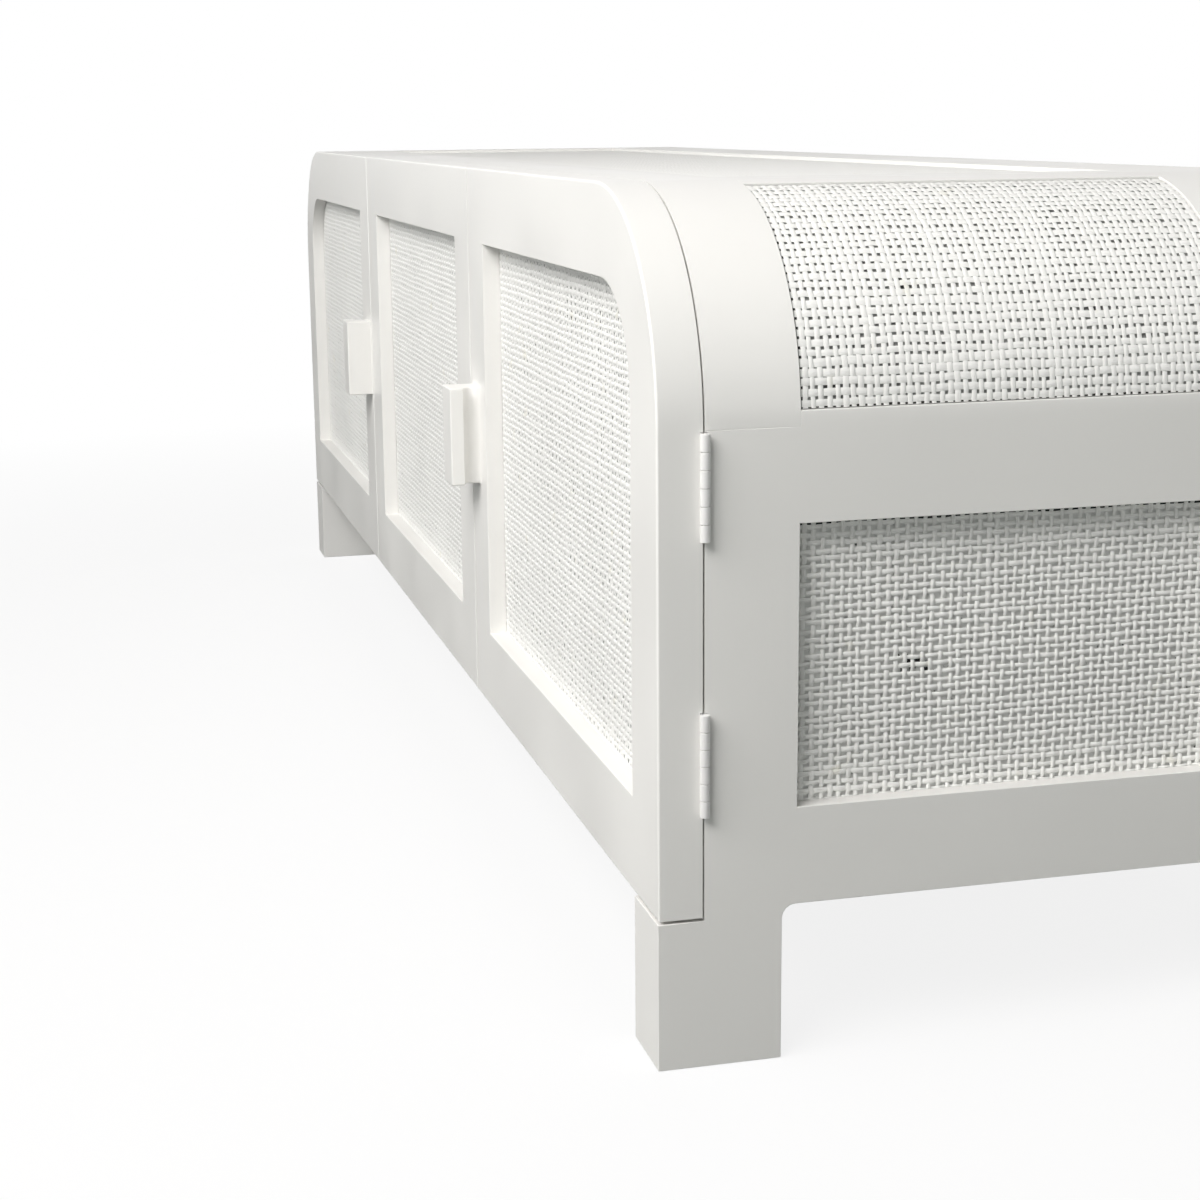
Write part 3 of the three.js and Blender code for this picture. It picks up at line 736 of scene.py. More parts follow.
@dataclass
class Weave:
    """A plain weave of flat-sided strands, laid out flat in U and V about the origin.

    Attributes:
        width: Length along U.
        height: Length along V.
        pitch_u: Distance between the strands that run along V.
        pitch_v: Distance between the strands that run along U.
        strand: A strand's width.
        narrow: The share of that width that the strands along V have.
        thick: A strand's thickness.
        lift: How far a strand rises above the middle over a crossing.
        close: True for the panels near the eye, which get rounder strands.
        seed: Seed of the strands' small wanderings.
    """

    width: float
    height: float
    pitch_u: float = 5.5 * MM
    pitch_v: float = 4.75 * MM
    strand: float = 2.75 * MM
    narrow: float = 1.0
    thick: float = 0.7 * MM
    lift: float = 0.38 * MM
    close: bool = False
    seed: int = 1

    def __post_init__(self) -> None:
        """Fits an even number of whole pitches into each length."""
        self.count_u = 2 * max(1, round(self.width / self.pitch_u / 2))
        self.count_v = 2 * max(1, round(self.height / self.pitch_v / 2))
        self.step_u = self.width / self.count_u
        self.step_v = self.height / self.count_v

    def stations(self) -> list[tuple[float, float]]:
        """Lists where a strand bends over two crossings.

        Returns:
            Pairs of place along the strand, in pitches, and rise, in lifts.
        """
        if self.close:
            return [(-0.5, 0), (-0.2, 1), (0.2, 1), (0.5, 0), (0.8, -1), (1.2, -1), (1.5, 0)]
        return [(-0.5, 0), (-0.2, 1), (0.2, 1), (0.8, -1), (1.2, -1), (1.5, 0)]

    def length_of(self, step: float, side: float, width: float, phase: int, name: str) -> Piece:
        """Extrudes one strand over two crossings along X, at a place across it.

        Args:
            step: Distance between crossings.
            side: Place along Y.
            width: The strand's width.
            phase: 1 to start above the crossing strands, -1 below.
            name: The strand's name.

        Returns:
            The strand.
        """
        stations = [(place * step, rise * phase * self.lift) for place, rise in self.stations()]
        sides = 8 if self.close else 4
        deselect()
        bpy.ops.mesh.primitive_circle_add(
            vertices=sides, radius=0.5, location=(stations[0][0], side, stations[0][1]),
            rotation=(math.pi / 2, 0, math.pi / 2))
        piece = bpy.context.object
        piece.name = name
        piece.scale = (width, self.thick, 1)
        settle(piece)
        if not self.close:
            self.flatten(piece, side, width, stations[0][1])
        with editing(piece):
            bpy.ops.mesh.select_all(action="SELECT")
            for (here, low), (there, high) in zip(stations, stations[1:]):
                bpy.ops.mesh.extrude_region_move(
                    TRANSFORM_OT_translate={"value": (there - here, 0, high - low)})
        return piece

    def flatten(self, piece: Piece, side: float, width: float, level: float) -> None:
        """Turns a four-sided ring into a strand's section with a wide base and a narrower crown.

        Args:
            piece: The ring, which stands across X.
            side: Y of its middle.
            width: The strand's width.
            level: Z of its middle.
        """
        half, thick = width / 2, self.thick / 2
        corners = [(-half, -thick), (half, -thick), (CROWN * half, thick), (-CROWN * half, thick)]
        order = sorted(
            piece.data.vertices, key=lambda vert: math.atan2(vert.co.z - level, vert.co.y - side))
        corners.sort(key=lambda corner: math.atan2(corner[1], corner[0]))
        for vert, (across, up) in zip(order, corners):
            vert.co.y, vert.co.z = side + across, level + up

    def set_of_strands(self, step: float, pitch: float, count: int, rows: int, width: float,
                       phase: int, name: str) -> Piece:
        """Repeats two neighbouring strands over a whole panel.

        Args:
            step: Distance between crossings along a strand.
            pitch: Distance between strands.
            count: Crossings along a strand.
            rows: Strands.
            width: A strand's width.
            phase: Whether the first strand starts above or below.
            name: The set's name.

        Returns:
            The set, in one piece.
        """
        pair = merge(name, [
            self.length_of(step, 0.0, width, phase, name),
            self.length_of(step, pitch, width, -phase, name + "_next")])
        apply(pair, "ARRAY", count=count // 2, use_relative_offset=False, use_constant_offset=True,
              constant_offset_displace=(2 * step, 0, 0), use_merge_vertices=True, merge_threshold=0.01 * MM)
        apply(pair, "ARRAY", count=rows // 2, use_relative_offset=False, use_constant_offset=True,
              constant_offset_displace=(0, 2 * pitch, 0))
        with editing(pair):
            bpy.ops.mesh.select_all(action="SELECT")
            bpy.ops.mesh.fill_holes(sides=0)
        return pair

    def wander(self, piece: Piece, pitch: float, rows: int, length: float) -> None:
        """Moves each strand a little off its line and varies its width, as hand-laid cane does.

        Args:
            piece: A set of strands that run along X from 0.
            pitch: Distance between strands.
            rows: Strands.
            length: A strand's length.
        """
        draw = random.Random(self.seed * 31 + rows)
        ways = [[draw.gauss(0, STRAY) * pitch, draw.uniform(*WIDTHS), draw.uniform(0, 6.28),
                 draw.uniform(*WAVES), draw.gauss(0, SINK) * self.thick] for _ in range(rows)]
        table = np.array(ways)
        spots = spots_of(piece)
        index = np.clip(np.rint(spots[:, 1] / pitch).astype(int), 0, rows - 1)
        line = index * pitch
        off, wide, start, wave, rise = table[index].T
        bend = BEND * pitch * np.sin(start + wave * spots[:, 0] / BEND_LENGTH)
        ripple = RIPPLE * pitch * np.sin(3.1 * start + spots[:, 0] / (RIPPLE_LENGTH * wave))
        free = np.clip(np.minimum(spots[:, 0], length - spots[:, 0]) / HELD_LENGTH, 0, 1)
        sideways = (off + bend + ripple) * (HELD + (1 - HELD) * free)
        spots[:, 1] = line + (spots[:, 1] - line) * wide + sideways
        spots[:, 2] += rise
        move_to(piece, spots)

    def cloth(self, name: str) -> Piece:
        """Makes the flat weave, centred on the origin.

        Args:
            name: The weave's name.

        Returns:
            The weave.
        """
        across = self.set_of_strands(
            self.step_u, self.step_v, self.count_u, self.count_v, self.strand, 1, name)
        self.wander(across, self.step_v, self.count_v, self.width)
        upright = self.set_of_strands(
            self.step_v, self.step_u, self.count_v, self.count_u, self.strand * self.narrow, -1,
            name + "_up")
        self.wander(upright, self.step_u, self.count_u, self.height)
        shift = Matrix.Translation((self.step_u / 2 - self.width / 2, self.step_v / 2 - self.height / 2, 0))
        across.data.transform(shift)
        swap = Matrix(((0, 1, 0, 0), (1, 0, 0, 0), (0, 0, 1, 0), (0, 0, 0, 1)))
        upright.data.transform(shift @ swap)
        return merge(name, [across, upright])


@dataclass
class CanePanel:
    """A weave on its thin lining, put where a CAD cane panel is.

    Attributes:
        node: The CAD panel that the weave replaces.
        body: The body it rides on.
        face: The axis that its outer face looks along.
        outward: 1 or -1, the way the outer face looks along that axis.
        finish: The weave's finish.
        lining_finish: The lining's finish; by default the dark grey lining whose colour is painted shade in
            the holes.
        pieces: How many pieces the weave is split into, along its length.
        close: True for the panels near the eye, with fuller strands.
        strand: A strand's width.
        narrow: The share of that width that the strands along V have.
        thick: A strand's thickness.
        lift: How far a strand rises above the middle over a crossing.
        swap: True where the closer pitch lies along the panel's length.
        seed: Seed of the strands' wanderings.
        lining: Thickness of the lining and its backing together.
        backing: Thickness of the painted backing, which shows from inside.
        lining_round: Radius of a square lining's corners.
    """

    node: str
    body: str
    face: Axis
    outward: int
    finish: Finish = CANE
    lining_finish: Finish = LINING_SHADE
    pieces: int = 1
    close: bool = False
    strand: float = 3.2 * MM
    narrow: float = 1.0
    thick: float = 0.5 * MM
    lift: float = 0.19 * MM
    swap: bool = False
    seed: int = 1
    lining: float = 0.6 * MM
    backing: float = 0.3 * MM
    lining_round: float = 3 * MM

    @property
    def axes(self) -> tuple[int, int, int]:
        """Row axes of U, V and the face."""
        return {Axis.X: (1, 2, 0), Axis.Y: (0, 2, 1), Axis.Z: (0, 1, 2)}[self.face]

    def weave_for(self, width: float, height: float, seed: int) -> Weave:
        """Sets out the weave for one piece of the panel.

        Args:
            width: Its length along U.
            height: Its length along V.
            seed: Its seed.

        Returns:
            The weave.
        """
        pitches = (4.75 * MM, 5.5 * MM) if self.swap else (5.5 * MM, 4.75 * MM)
        return Weave(width, height, *pitches, self.strand, self.narrow, self.thick, self.lift,
                     self.close, seed)

    def build(self) -> list[Piece]:
        """Makes the weave's pieces, the lining and its backing.

        Returns:
            The pieces.
        """
        span = Span.around(self.node)
        u, v, out = self.axes
        made = []
        share = span.size[u] / self.pieces
        for part in range(self.pieces):
            name = f"{self.node}_weave" if self.pieces == 1 else f"{self.node}_weave_{part + 1}"
            weave = self.weave_for(share, span.size[v], self.seed + part)
            cloth = weave.cloth(name)
            self.lay(cloth, span, span.low[u] + (part + 0.5) * share, weave)
            self.trim(cloth, span)
            smooth(outward(cloth), 60 if self.close else 50)
            fit_out(cloth, self.finish, self.body, "cane", *([self.node] if part == 0 else []))
            made.append(cloth)
        return made + self.make_lining(span)

    def lay(self, cloth: Piece, span: Span, middle_u: float, weave: Weave) -> None:
        """Turns and moves a flat weave to its place in the panel's front.

        Args:
            cloth: The flat weave.
            span: The CAD panel's box.
            middle_u: Where its middle lies along U.
            weave: What the cloth was made from.
        """
        u, v, out = self.axes
        front = span.high[out] if self.outward > 0 else span.low[out]
        turn = Matrix(((0.0,) * 4,) * 3 + ((0, 0, 0, 1),))
        turn[u][0], turn[v][1], turn[out][2] = 1, 1, self.outward
        turn[u][3] = middle_u
        turn[v][3] = (span.low[v] + span.high[v]) / 2
        turn[out][3] = front - self.outward * (weave.lift + weave.thick / 2)
        cloth.data.transform(turn)

    def trim(self, cloth: Piece, span: Span) -> None:
        """Leaves a square panel as it is."""

    def layers(self) -> tuple[tuple[str, Finish, float, float], ...]:
        """Returns word, finish, front and back of both sheets, measured from the panel's back."""
        return (("lining", self.lining_finish, self.lining, self.backing),
                ("backing", BOARD, self.backing, 0.0))

    def make_lining(self, span: Span) -> list[Piece]:
        """Makes the two thin sheets behind the weave.

        Args:
            span: The CAD panel's box.

        Returns:
            The two sheets.
        """
        out = self.axes[2]
        made = []
        for word, finish, near, far in self.layers():
            low, high = span.low.copy(), span.high.copy()
            if self.outward > 0:
                low[out], high[out] = span.low[out] + far, span.low[out] + near
            else:
                low[out], high[out] = span.high[out] - near, span.high[out] - far
            sheet = block(f"{self.node}_{word}", Span(low, high))
            self.trim_lining(sheet, span)
            made.append(fit_out(sheet, finish, self.body, "cane"))
        return made

    def trim_lining(self, sheet: Piece, span: Span) -> None:
        """Rounds the four corners of a square lining, inside its groove.

        Args:
            sheet: The sheet.
            span: The CAD panel's box.
        """
        out = self.axes[2]
        with editing(sheet):
            pick(sheet, edges=lambda e: abs((e.verts[0].co - e.verts[1].co)[out]) > 0.1 * MM)
            bpy.ops.mesh.bevel(offset=self.lining_round, segments=3, affect="EDGES")


@dataclass
class RoundedCanePanel(CanePanel):
    """The cane of an end door, with its top outer corner rounded under the door's frame.

    Attributes:
        side: The end that the corner is at.
        radius: The round's radius at the cane's edge.
    """

    side: Side = Side.RIGHT
    radius: float = 73 * MM

    def centre(self, span: Span) -> tuple[float, float]:
        """Returns X and Z of the round's centre."""
        return span.edge(self.side) - self.side.value * self.radius, span.high.z - self.radius

    def trim(self, cloth: Piece, span: Span) -> None:
        """Takes off the strands outside the round and closes their ends.

        Args:
            cloth: The weave in its place.
            span: The CAD panel's box.
        """
        x, z = self.centre(span)

        def beyond(face: bmesh.types.BMFace) -> bool:
            """Tests a face of the weave.

            Args:
                face: The face.

            Returns:
                True where it lies outside the round.
            """
            spot = face.calc_center_median()
            out, up = (spot.x - x) * self.side.value, spot.z - z
            return out > 0 and up > 0 and math.hypot(out, up) > self.radius

        with editing(cloth):
            if pick(cloth, faces=beyond):
                bpy.ops.mesh.delete(type="FACE")
                bpy.ops.mesh.select_all(action="SELECT")
                bpy.ops.mesh.fill_holes(sides=0)

    def trim_lining(self, sheet: Piece, span: Span) -> None:
        """Rounds the lining's corner.

        Args:
            sheet: The sheet.
            span: The CAD panel's box.
        """
        with editing(sheet):
            pick(sheet, edges=upright_at(span.edge(self.side), span.high.z))
            bpy.ops.mesh.bevel(offset=self.radius, segments=16, affect="EDGES")


@dataclass
class CurvedCanePanel(CanePanel):
    """The cane bent over an end's curve.

    Attributes:
        side: The end it is at.
        tuck: How much wider than the CAD panel both sheets are, under the strips.
    """

    side: Side = Side.RIGHT
    tuck: float = 6 * MM

    def build(self) -> list[Piece]:
        """Makes the bent weave and the two bent sheets behind it.

        Returns:
            The three pieces.
        """
        span = Span.around(self.node)
        spots = [vert.co for vert in bpy.data.objects[self.node].data.vertices]
        arms = [(spot.z - CURVE_Z, self.side.value * spot.x - CURVE_X) for spot in spots]
        turns, reach = [math.atan2(*arm) for arm in arms], [math.hypot(*arm) for arm in arms]
        low, high, outer, inner = min(turns), max(turns), max(reach), min(reach)
        weave = self.weave_for(span.size.y, (high - low) * outer, self.seed)
        cloth = weave.cloth(f"{self.node}_weave")
        level = outer - weave.lift - weave.thick / 2
        self.wrap(cloth, span.middle.y, (low + high) / 2, level, outer)
        smooth(outward(cloth), 60)
        fit_out(cloth, self.finish, self.body, "cane", self.node)
        made = [cloth]
        for word, finish, near, far in self.layers():
            deselect()
            bpy.ops.mesh.primitive_grid_add(x_subdivisions=2, y_subdivisions=24, size=1)
            sheet = bpy.context.object
            sheet.name = f"{self.node}_{word}"
            sheet.scale = (span.size.y + self.tuck, (high - low) * outer, 1)
            settle(sheet)
            self.wrap(sheet, span.middle.y, (low + high) / 2, inner + near, outer)
            outward(sheet)
            apply(sheet, "SOLIDIFY", thickness=near - far, offset=-1.0)
            made.append(fit_out(smooth(outward(sheet), 40), finish, self.body, "cane"))
        return made

    def wrap(self, piece: Piece, middle_y: float, middle_turn: float, level: float,
             radius: float) -> None:
        """Bends a flat piece about the curve's centre.

        Args:
            piece: A flat piece, U along Y and V along the curve.
            middle_y: Y of its middle.
            middle_turn: Angle of its middle.
            level: Radius of its zero height.
            radius: Radius at which V keeps its length.
        """
        u, v, rise = spots_of(piece).T
        turn = middle_turn + v / radius
        reach = level + rise
        x, z = CURVE_X + reach * np.cos(turn), CURVE_Z + reach * np.sin(turn)
        move_to(piece, np.stack([self.side.value * x, middle_y + u, z], axis=1))


# ---- Doors


@dataclass
class ScrewHead:
    """A countersunk screw with a cross recess.

    Attributes:
        radius: The head's radius.
        depth: How deep the head goes.
        slot_width: Width of the cross.
        slot_depth: Depth of the cross.
        slot_share: The cross's half length, as a share of the head's radius.
        foot_share: The radius of the head's foot, as a share of its own.
    """

    radius: float = 2.6 * MM
    depth: float = 1.0 * MM
    slot_width: float = 0.75 * MM
    slot_depth: float = 0.5 * MM
    slot_share: float = 0.6
    foot_share: float = 0.45

    def model(self, name: str, axis: Axis, way: int) -> Piece:
        """Models the screw at the origin, its head looking along way.

        Args:
            name: The piece's name.
            axis: The axis that the head looks along.
            way: 1 or -1.

        Returns:
            The screw.
        """
        deselect()
        bpy.ops.mesh.primitive_cone_add(
            vertices=16, radius1=self.foot_share * self.radius, radius2=self.radius, depth=self.depth,
            location=(0, 0, -self.depth / 2))
        head = settle(bpy.context.object)
        head.name = name
        half, reach = self.slot_width / 2, self.slot_share * self.radius
        for x, y in ((half, reach), (reach, half)):
            arm = Span(Vector((-x, -y, -self.slot_depth)), Vector((x, y, self.slot_depth)))
            carve(head, block("cross_arm", arm))
        turns = {Axis.X: Matrix.Rotation(way * math.pi / 2, 4, "Y"),
                 Axis.Y: Matrix.Rotation(-way * math.pi / 2, 4, "X"),
                 Axis.Z: Matrix.Identity(4)}
        head.data.transform(turns[axis])
        return head

    def drive(self, name: str, axis: Axis, way: int, spots: list[Vector]) -> Piece:
        """Models the screw and sets copies of it at some places.

        Args:
            name: The set's name.
            axis: The axis that the heads look along.
            way: 1 or -1, the way they look.
            spots: Their places.

        Returns:
            The screws, in one piece.
        """
        first = self.model(name, axis, way)
        heads = [copy_of(first, f"{name}_{number}", spot) for number, spot in enumerate(spots)]
        bpy.data.objects.remove(first)
        return smooth(merge(name, heads))


@dataclass
class Door:
    """A framed door: one painted frame, its cane and, on an end door, its handle.

    Attributes:
        word: The door's word in the node names.
        side: The end it is at, or None for the middle door.
        seed: Seed of its cane.
        member: Width of its stiles and top rail.
        bottom: Height of its bottom rail.
        curve: Radius of the outer corner that follows the case.
        arris: Radius of the outer front edge.
        inner_arris: Radius of the edges round the cane.
        back_arris: Radius of the back edges.
        stop: How much nearer the case the back stands than in the CAD, which narrows the gap.
        groove: Depth of the groove that holds the cane.
        groove_room: Clearance of the groove beside the cane.
        hinge_arris: Radius of the middle door's edge next to its hinges.
        handle_arris: Radius of the handle's edges.
        handle_width: The handle's width.
        handle_slab: Thickness of the handle's front.
        handle_scoop: Depth of the finger scoop behind it.
        opening_round: Radius of the opening's round corner.
        opening_shift: How far that corner's centre lies outside the outer corner's centre.
        seat_reach: How far a butt hinge's seat reaches in from the door's edge.
        seat_depth: Depth of that seat.
        seat_room: Clearance round a hinge's seat or bore.
        past: How far a cutter reaches past the door.
        cup_bore: Radius of the bores for the middle door's hinge cups.
        body: The body that the door's pieces ride on.
    """

    word: str
    side: Side | None
    seed: int
    member: float = 55 * MM
    bottom: float = 58 * MM
    curve: float = 130 * MM
    arris: float = 1.6 * MM
    inner_arris: float = 1.0 * MM
    back_arris: float = 0.3 * MM
    stop: float = 0.5 * MM
    groove: float = 8 * MM
    groove_room: float = 0.05 * MM
    hinge_arris: float = 0.6 * MM
    handle_arris: float = 1.0 * MM
    handle_width: float = 32 * MM
    handle_slab: float = 10.5 * MM
    handle_scoop: float = 8.5 * MM
    opening_round: float = 66 * MM
    opening_shift: float = 9 * MM
    seat_reach: float = 19.3 * MM
    seat_depth: float = 1.2 * MM
    seat_room: float = 0.3 * MM
    past: float = 5 * MM
    cup_bore: float = 17.8 * MM
    body: str = field(init=False)

    def __post_init__(self) -> None:
        """Names the door's body and its frame's nodes."""
        self.body = f"{self.word}_door"
        parts = ["hinge_stile", "latch_stile", "top_rail", "bottom_rail"]
        if self.side:
            parts.append("corner")
        self.nodes = [f"{self.body}_{part}" for part in parts]
        self.span = Span.around(*self.nodes)
        if not self.side:
            self.nodes.append(f"{self.body}_handle")

    def build(self) -> list[Piece]:
        """Makes the door's pieces.

        Returns:
            The pieces.
        """
        frame = self.make_frame()
        make = partial(RoundedCanePanel, side=self.side) if self.side else CanePanel
        # The door's cane paint is the darkened copy and its lining the dark one: painted shade.
        panel = make(f"{self.body}_cane", self.body, Axis.Y, -1, DOOR_CANE_SHADED, pieces=2, seed=self.seed)
        return [frame, *panel.build(), *([self.make_handle()] if self.side else [])]

    def make_frame(self) -> Piece:
        """Models the door's frame from a block: rounded corner, opening, groove and eased edges.

        Returns:
            The frame.
        """
        span = self.span
        frame = block(f"{self.body}_frame", span)
        with editing(frame):
            if self.side:
                pick(frame, edges=upright_at(span.edge(self.side), span.high.z))
                bpy.ops.mesh.bevel(offset=self.curve, segments=24, affect="EDGES")
            pick(frame, faces=lambda f: abs(f.normal.y) > 0.9)
            bpy.ops.mesh.inset(thickness=self.member, depth=0, use_even_offset=True, use_individual=True)
            level = span.low.z + self.member
            pick(frame, verts=lambda v: abs(v.co.z - level) < MM / 2 and self.inside(v.co, 2 * MM))
            bpy.ops.transform.translate(value=(0, 0, self.bottom - self.member))
            if self.side:
                self.tighten(frame)
            pick(frame, faces=lambda f: abs(f.normal.y) > 0.9
                 and self.inside(f.calc_center_median(), self.member))
            bpy.ops.mesh.delete(type="FACE")
            pick(frame, edges=lambda e: e.is_boundary)
            bpy.ops.mesh.bridge_edge_loops()
        self.rout(frame)
        self.ease(frame)
        self.mortise(frame)
        return fit_out(fair(frame), JOINERY, self.body, "paint", *self.nodes)

    @property
    def curve_centre(self) -> Vector:
        """The centre of the outer corner's curve, at Y 0."""
        x = self.span.edge(self.side) - self.side.value * self.curve
        return Vector((x, 0, self.span.high.z - self.curve))

    def tighten(self, frame: Piece) -> None:
        """Gives the opening's round corner its own smaller radius, further out.

        Args:
            frame: The door's frame.
        """
        centre = self.curve_centre
        inner = self.curve - self.member

        def on_round(vert: bmesh.types.BMVert) -> bool:
            """Whether a vertex lies on the opening's round corner."""
            out, up = (vert.co.x - centre.x) * self.side.value, vert.co.z - centre.z
            return min(out, up) > -MM / 2 and abs(math.hypot(out, up) - inner) < MM

        pick(frame, verts=on_round)
        share = self.opening_round / inner
        bpy.ops.transform.resize(value=(share, 1, share), center_override=centre)
        bpy.ops.transform.translate(value=(self.side.value * self.opening_shift, 0, self.opening_shift))

    def inside(self, spot: Vector, margin: float) -> bool:
        """Whether a point lies further in than margin from the door's outline box."""
        low, high = self.span.low, self.span.high
        return low.x + margin < spot.x < high.x - margin and low.z + margin < spot.z < high.z - margin

    def rout(self, frame: Piece) -> None:
        """Routs the cane's groove round the opening.

        Args:
            frame: The door's frame.
        """
        cane = Span.around(f"{self.body}_cane")
        low, high = cane.low.y - self.groove_room, cane.high.y + self.groove_room
        with editing(frame):
            for level in (low, high):
                bpy.ops.mesh.select_all(action="SELECT")
                bpy.ops.mesh.bisect(plane_co=(0, level, 0), plane_no=(0, 1, 0))
            pick(frame, faces=lambda f: low < f.calc_center_median().y < high
                 and self.is_inner(f.calc_center_median()))
            bpy.ops.mesh.extrude_region_shrink_fatten(
                TRANSFORM_OT_shrink_fatten={"value": -self.groove, "use_even_offset": True})

    def ease(self, frame: Piece) -> None:
        """Rounds the outer front edge, eases the other edges and sets the back nearer the case.

        Args:
            frame: The door's frame.
        """
        front, back = self.span.low.y, self.span.high.y

        def at_front(edge: Edge, inner: bool) -> bool:
            """Tests an edge of the frame.

            Args:
                edge: The edge.
                inner: True for the opening's edges, False for the outline's.

            Returns:
                True where it is such an edge of the front.
            """
            spot = middle_of(edge)
            return (abs(spot.y - front) < MM / 10 and edge.calc_face_angle(0) > 1
                    and self.is_inner(spot) == inner)

        def at_hinges(edge: Edge) -> bool:
            """Whether an edge is the middle door's edge beside its hinges."""
            return self.side is None and abs(middle_of(edge).x - self.span.high.x) < MM / 10

        with editing(frame):
            pick(frame, edges=lambda e: at_front(e, False) and not at_hinges(e))
            bpy.ops.mesh.bevel(offset=self.arris, segments=5, affect="EDGES")
            if pick(frame, edges=lambda e: at_front(e, False) and at_hinges(e)):
                bpy.ops.mesh.bevel(offset=self.hinge_arris, segments=2, affect="EDGES")
            pick(frame, edges=lambda e: at_front(e, True))
            bpy.ops.mesh.bevel(offset=self.inner_arris, segments=2, affect="EDGES")
            pick(frame, edges=lambda e: abs(middle_of(e).y - back) < MM / 10 and e.calc_face_angle(0) > 1)
            bpy.ops.mesh.bevel(offset=self.back_arris, segments=2, affect="EDGES")
            pick(frame, verts=lambda v: v.co.y > back - MM)
            bpy.ops.transform.translate(value=(0, self.stop, 0))

    def is_inner(self, spot: Vector) -> bool:
        """Tells whether a point on the front lies nearer the opening than the outline.

        Args:
            spot: The point.

        Returns:
            True where the opening is nearer.
        """
        if self.side:
            centre = self.curve_centre
            out, up = (spot.x - centre.x) * self.side.value, spot.z - centre.z
            if out > 0 and up > 0:
                return math.hypot(out, up) < self.curve - self.member / 2
        return self.inside(spot, self.member / 2)

    def mortise(self, frame: Piece) -> None:
        """Sinks the seats of the hinges into the door's back.

        Args:
            frame: The door's frame.
        """
        back = self.span.high.y
        for place in ("lower", "upper"):
            if self.side:
                leaf, edge = Span.around(f"{self.word}_{place}_door_leaf"), self.span.edge(self.side)
                low_x, high_x = sorted((
                    edge - self.side.value * self.seat_reach, edge + self.side.value * self.past))
                cutter = block("seat", Span(
                    Vector((low_x, back - self.seat_depth, leaf.low.z - self.seat_room)),
                    Vector((high_x, back + self.past, leaf.high.z + self.seat_room))))
            else:
                cup = Span.around(f"{place}_hinge_cup")
                centre = Vector((cup.high.x - CUP_INSET, back, cup.middle.z))
                depth = back - cup.low.y + self.seat_room
                cutter = disc("bore", Axis.Y, self.cup_bore, centre, 2 * depth, 48)
            carve(frame, cutter)

    def make_handle(self) -> Piece:
        """Models the handle from a block: a scoop down the side next to the cane, and eased edges.

        Returns:
            The handle.
        """
        node = f"{self.body}_handle"
        span = Span.around(node)
        if self.side is Side.RIGHT:
            span.low.x = span.high.x - self.handle_width
        else:
            span.high.x = span.low.x + self.handle_width
        grip = block(f"{self.body}_grip", span)
        back, slab = span.high.y, span.low.y + self.handle_slab
        scoop = disc("scoop", Axis.Z, 1.0, Vector((0, 0, 0)), span.size.z * 1.2, 48)
        place = Matrix.Translation((span.edge(self.side), (slab + back) / 2, span.middle.z))
        scoop.data.transform(place @ Matrix.Diagonal((self.handle_scoop, (back - slab) / 2, 1, 1)))
        carve(grip, scoop)
        with editing(grip):
            pick(grip, edges=lambda e: e.calc_face_angle(0) > 0.7 and middle_of(e).y < back - MM)
            bpy.ops.mesh.bevel(offset=self.handle_arris, segments=3, affect="EDGES")
        return fit_out(fair(grip, 40), JOINERY, self.body, "paint", node)


# ---- Case


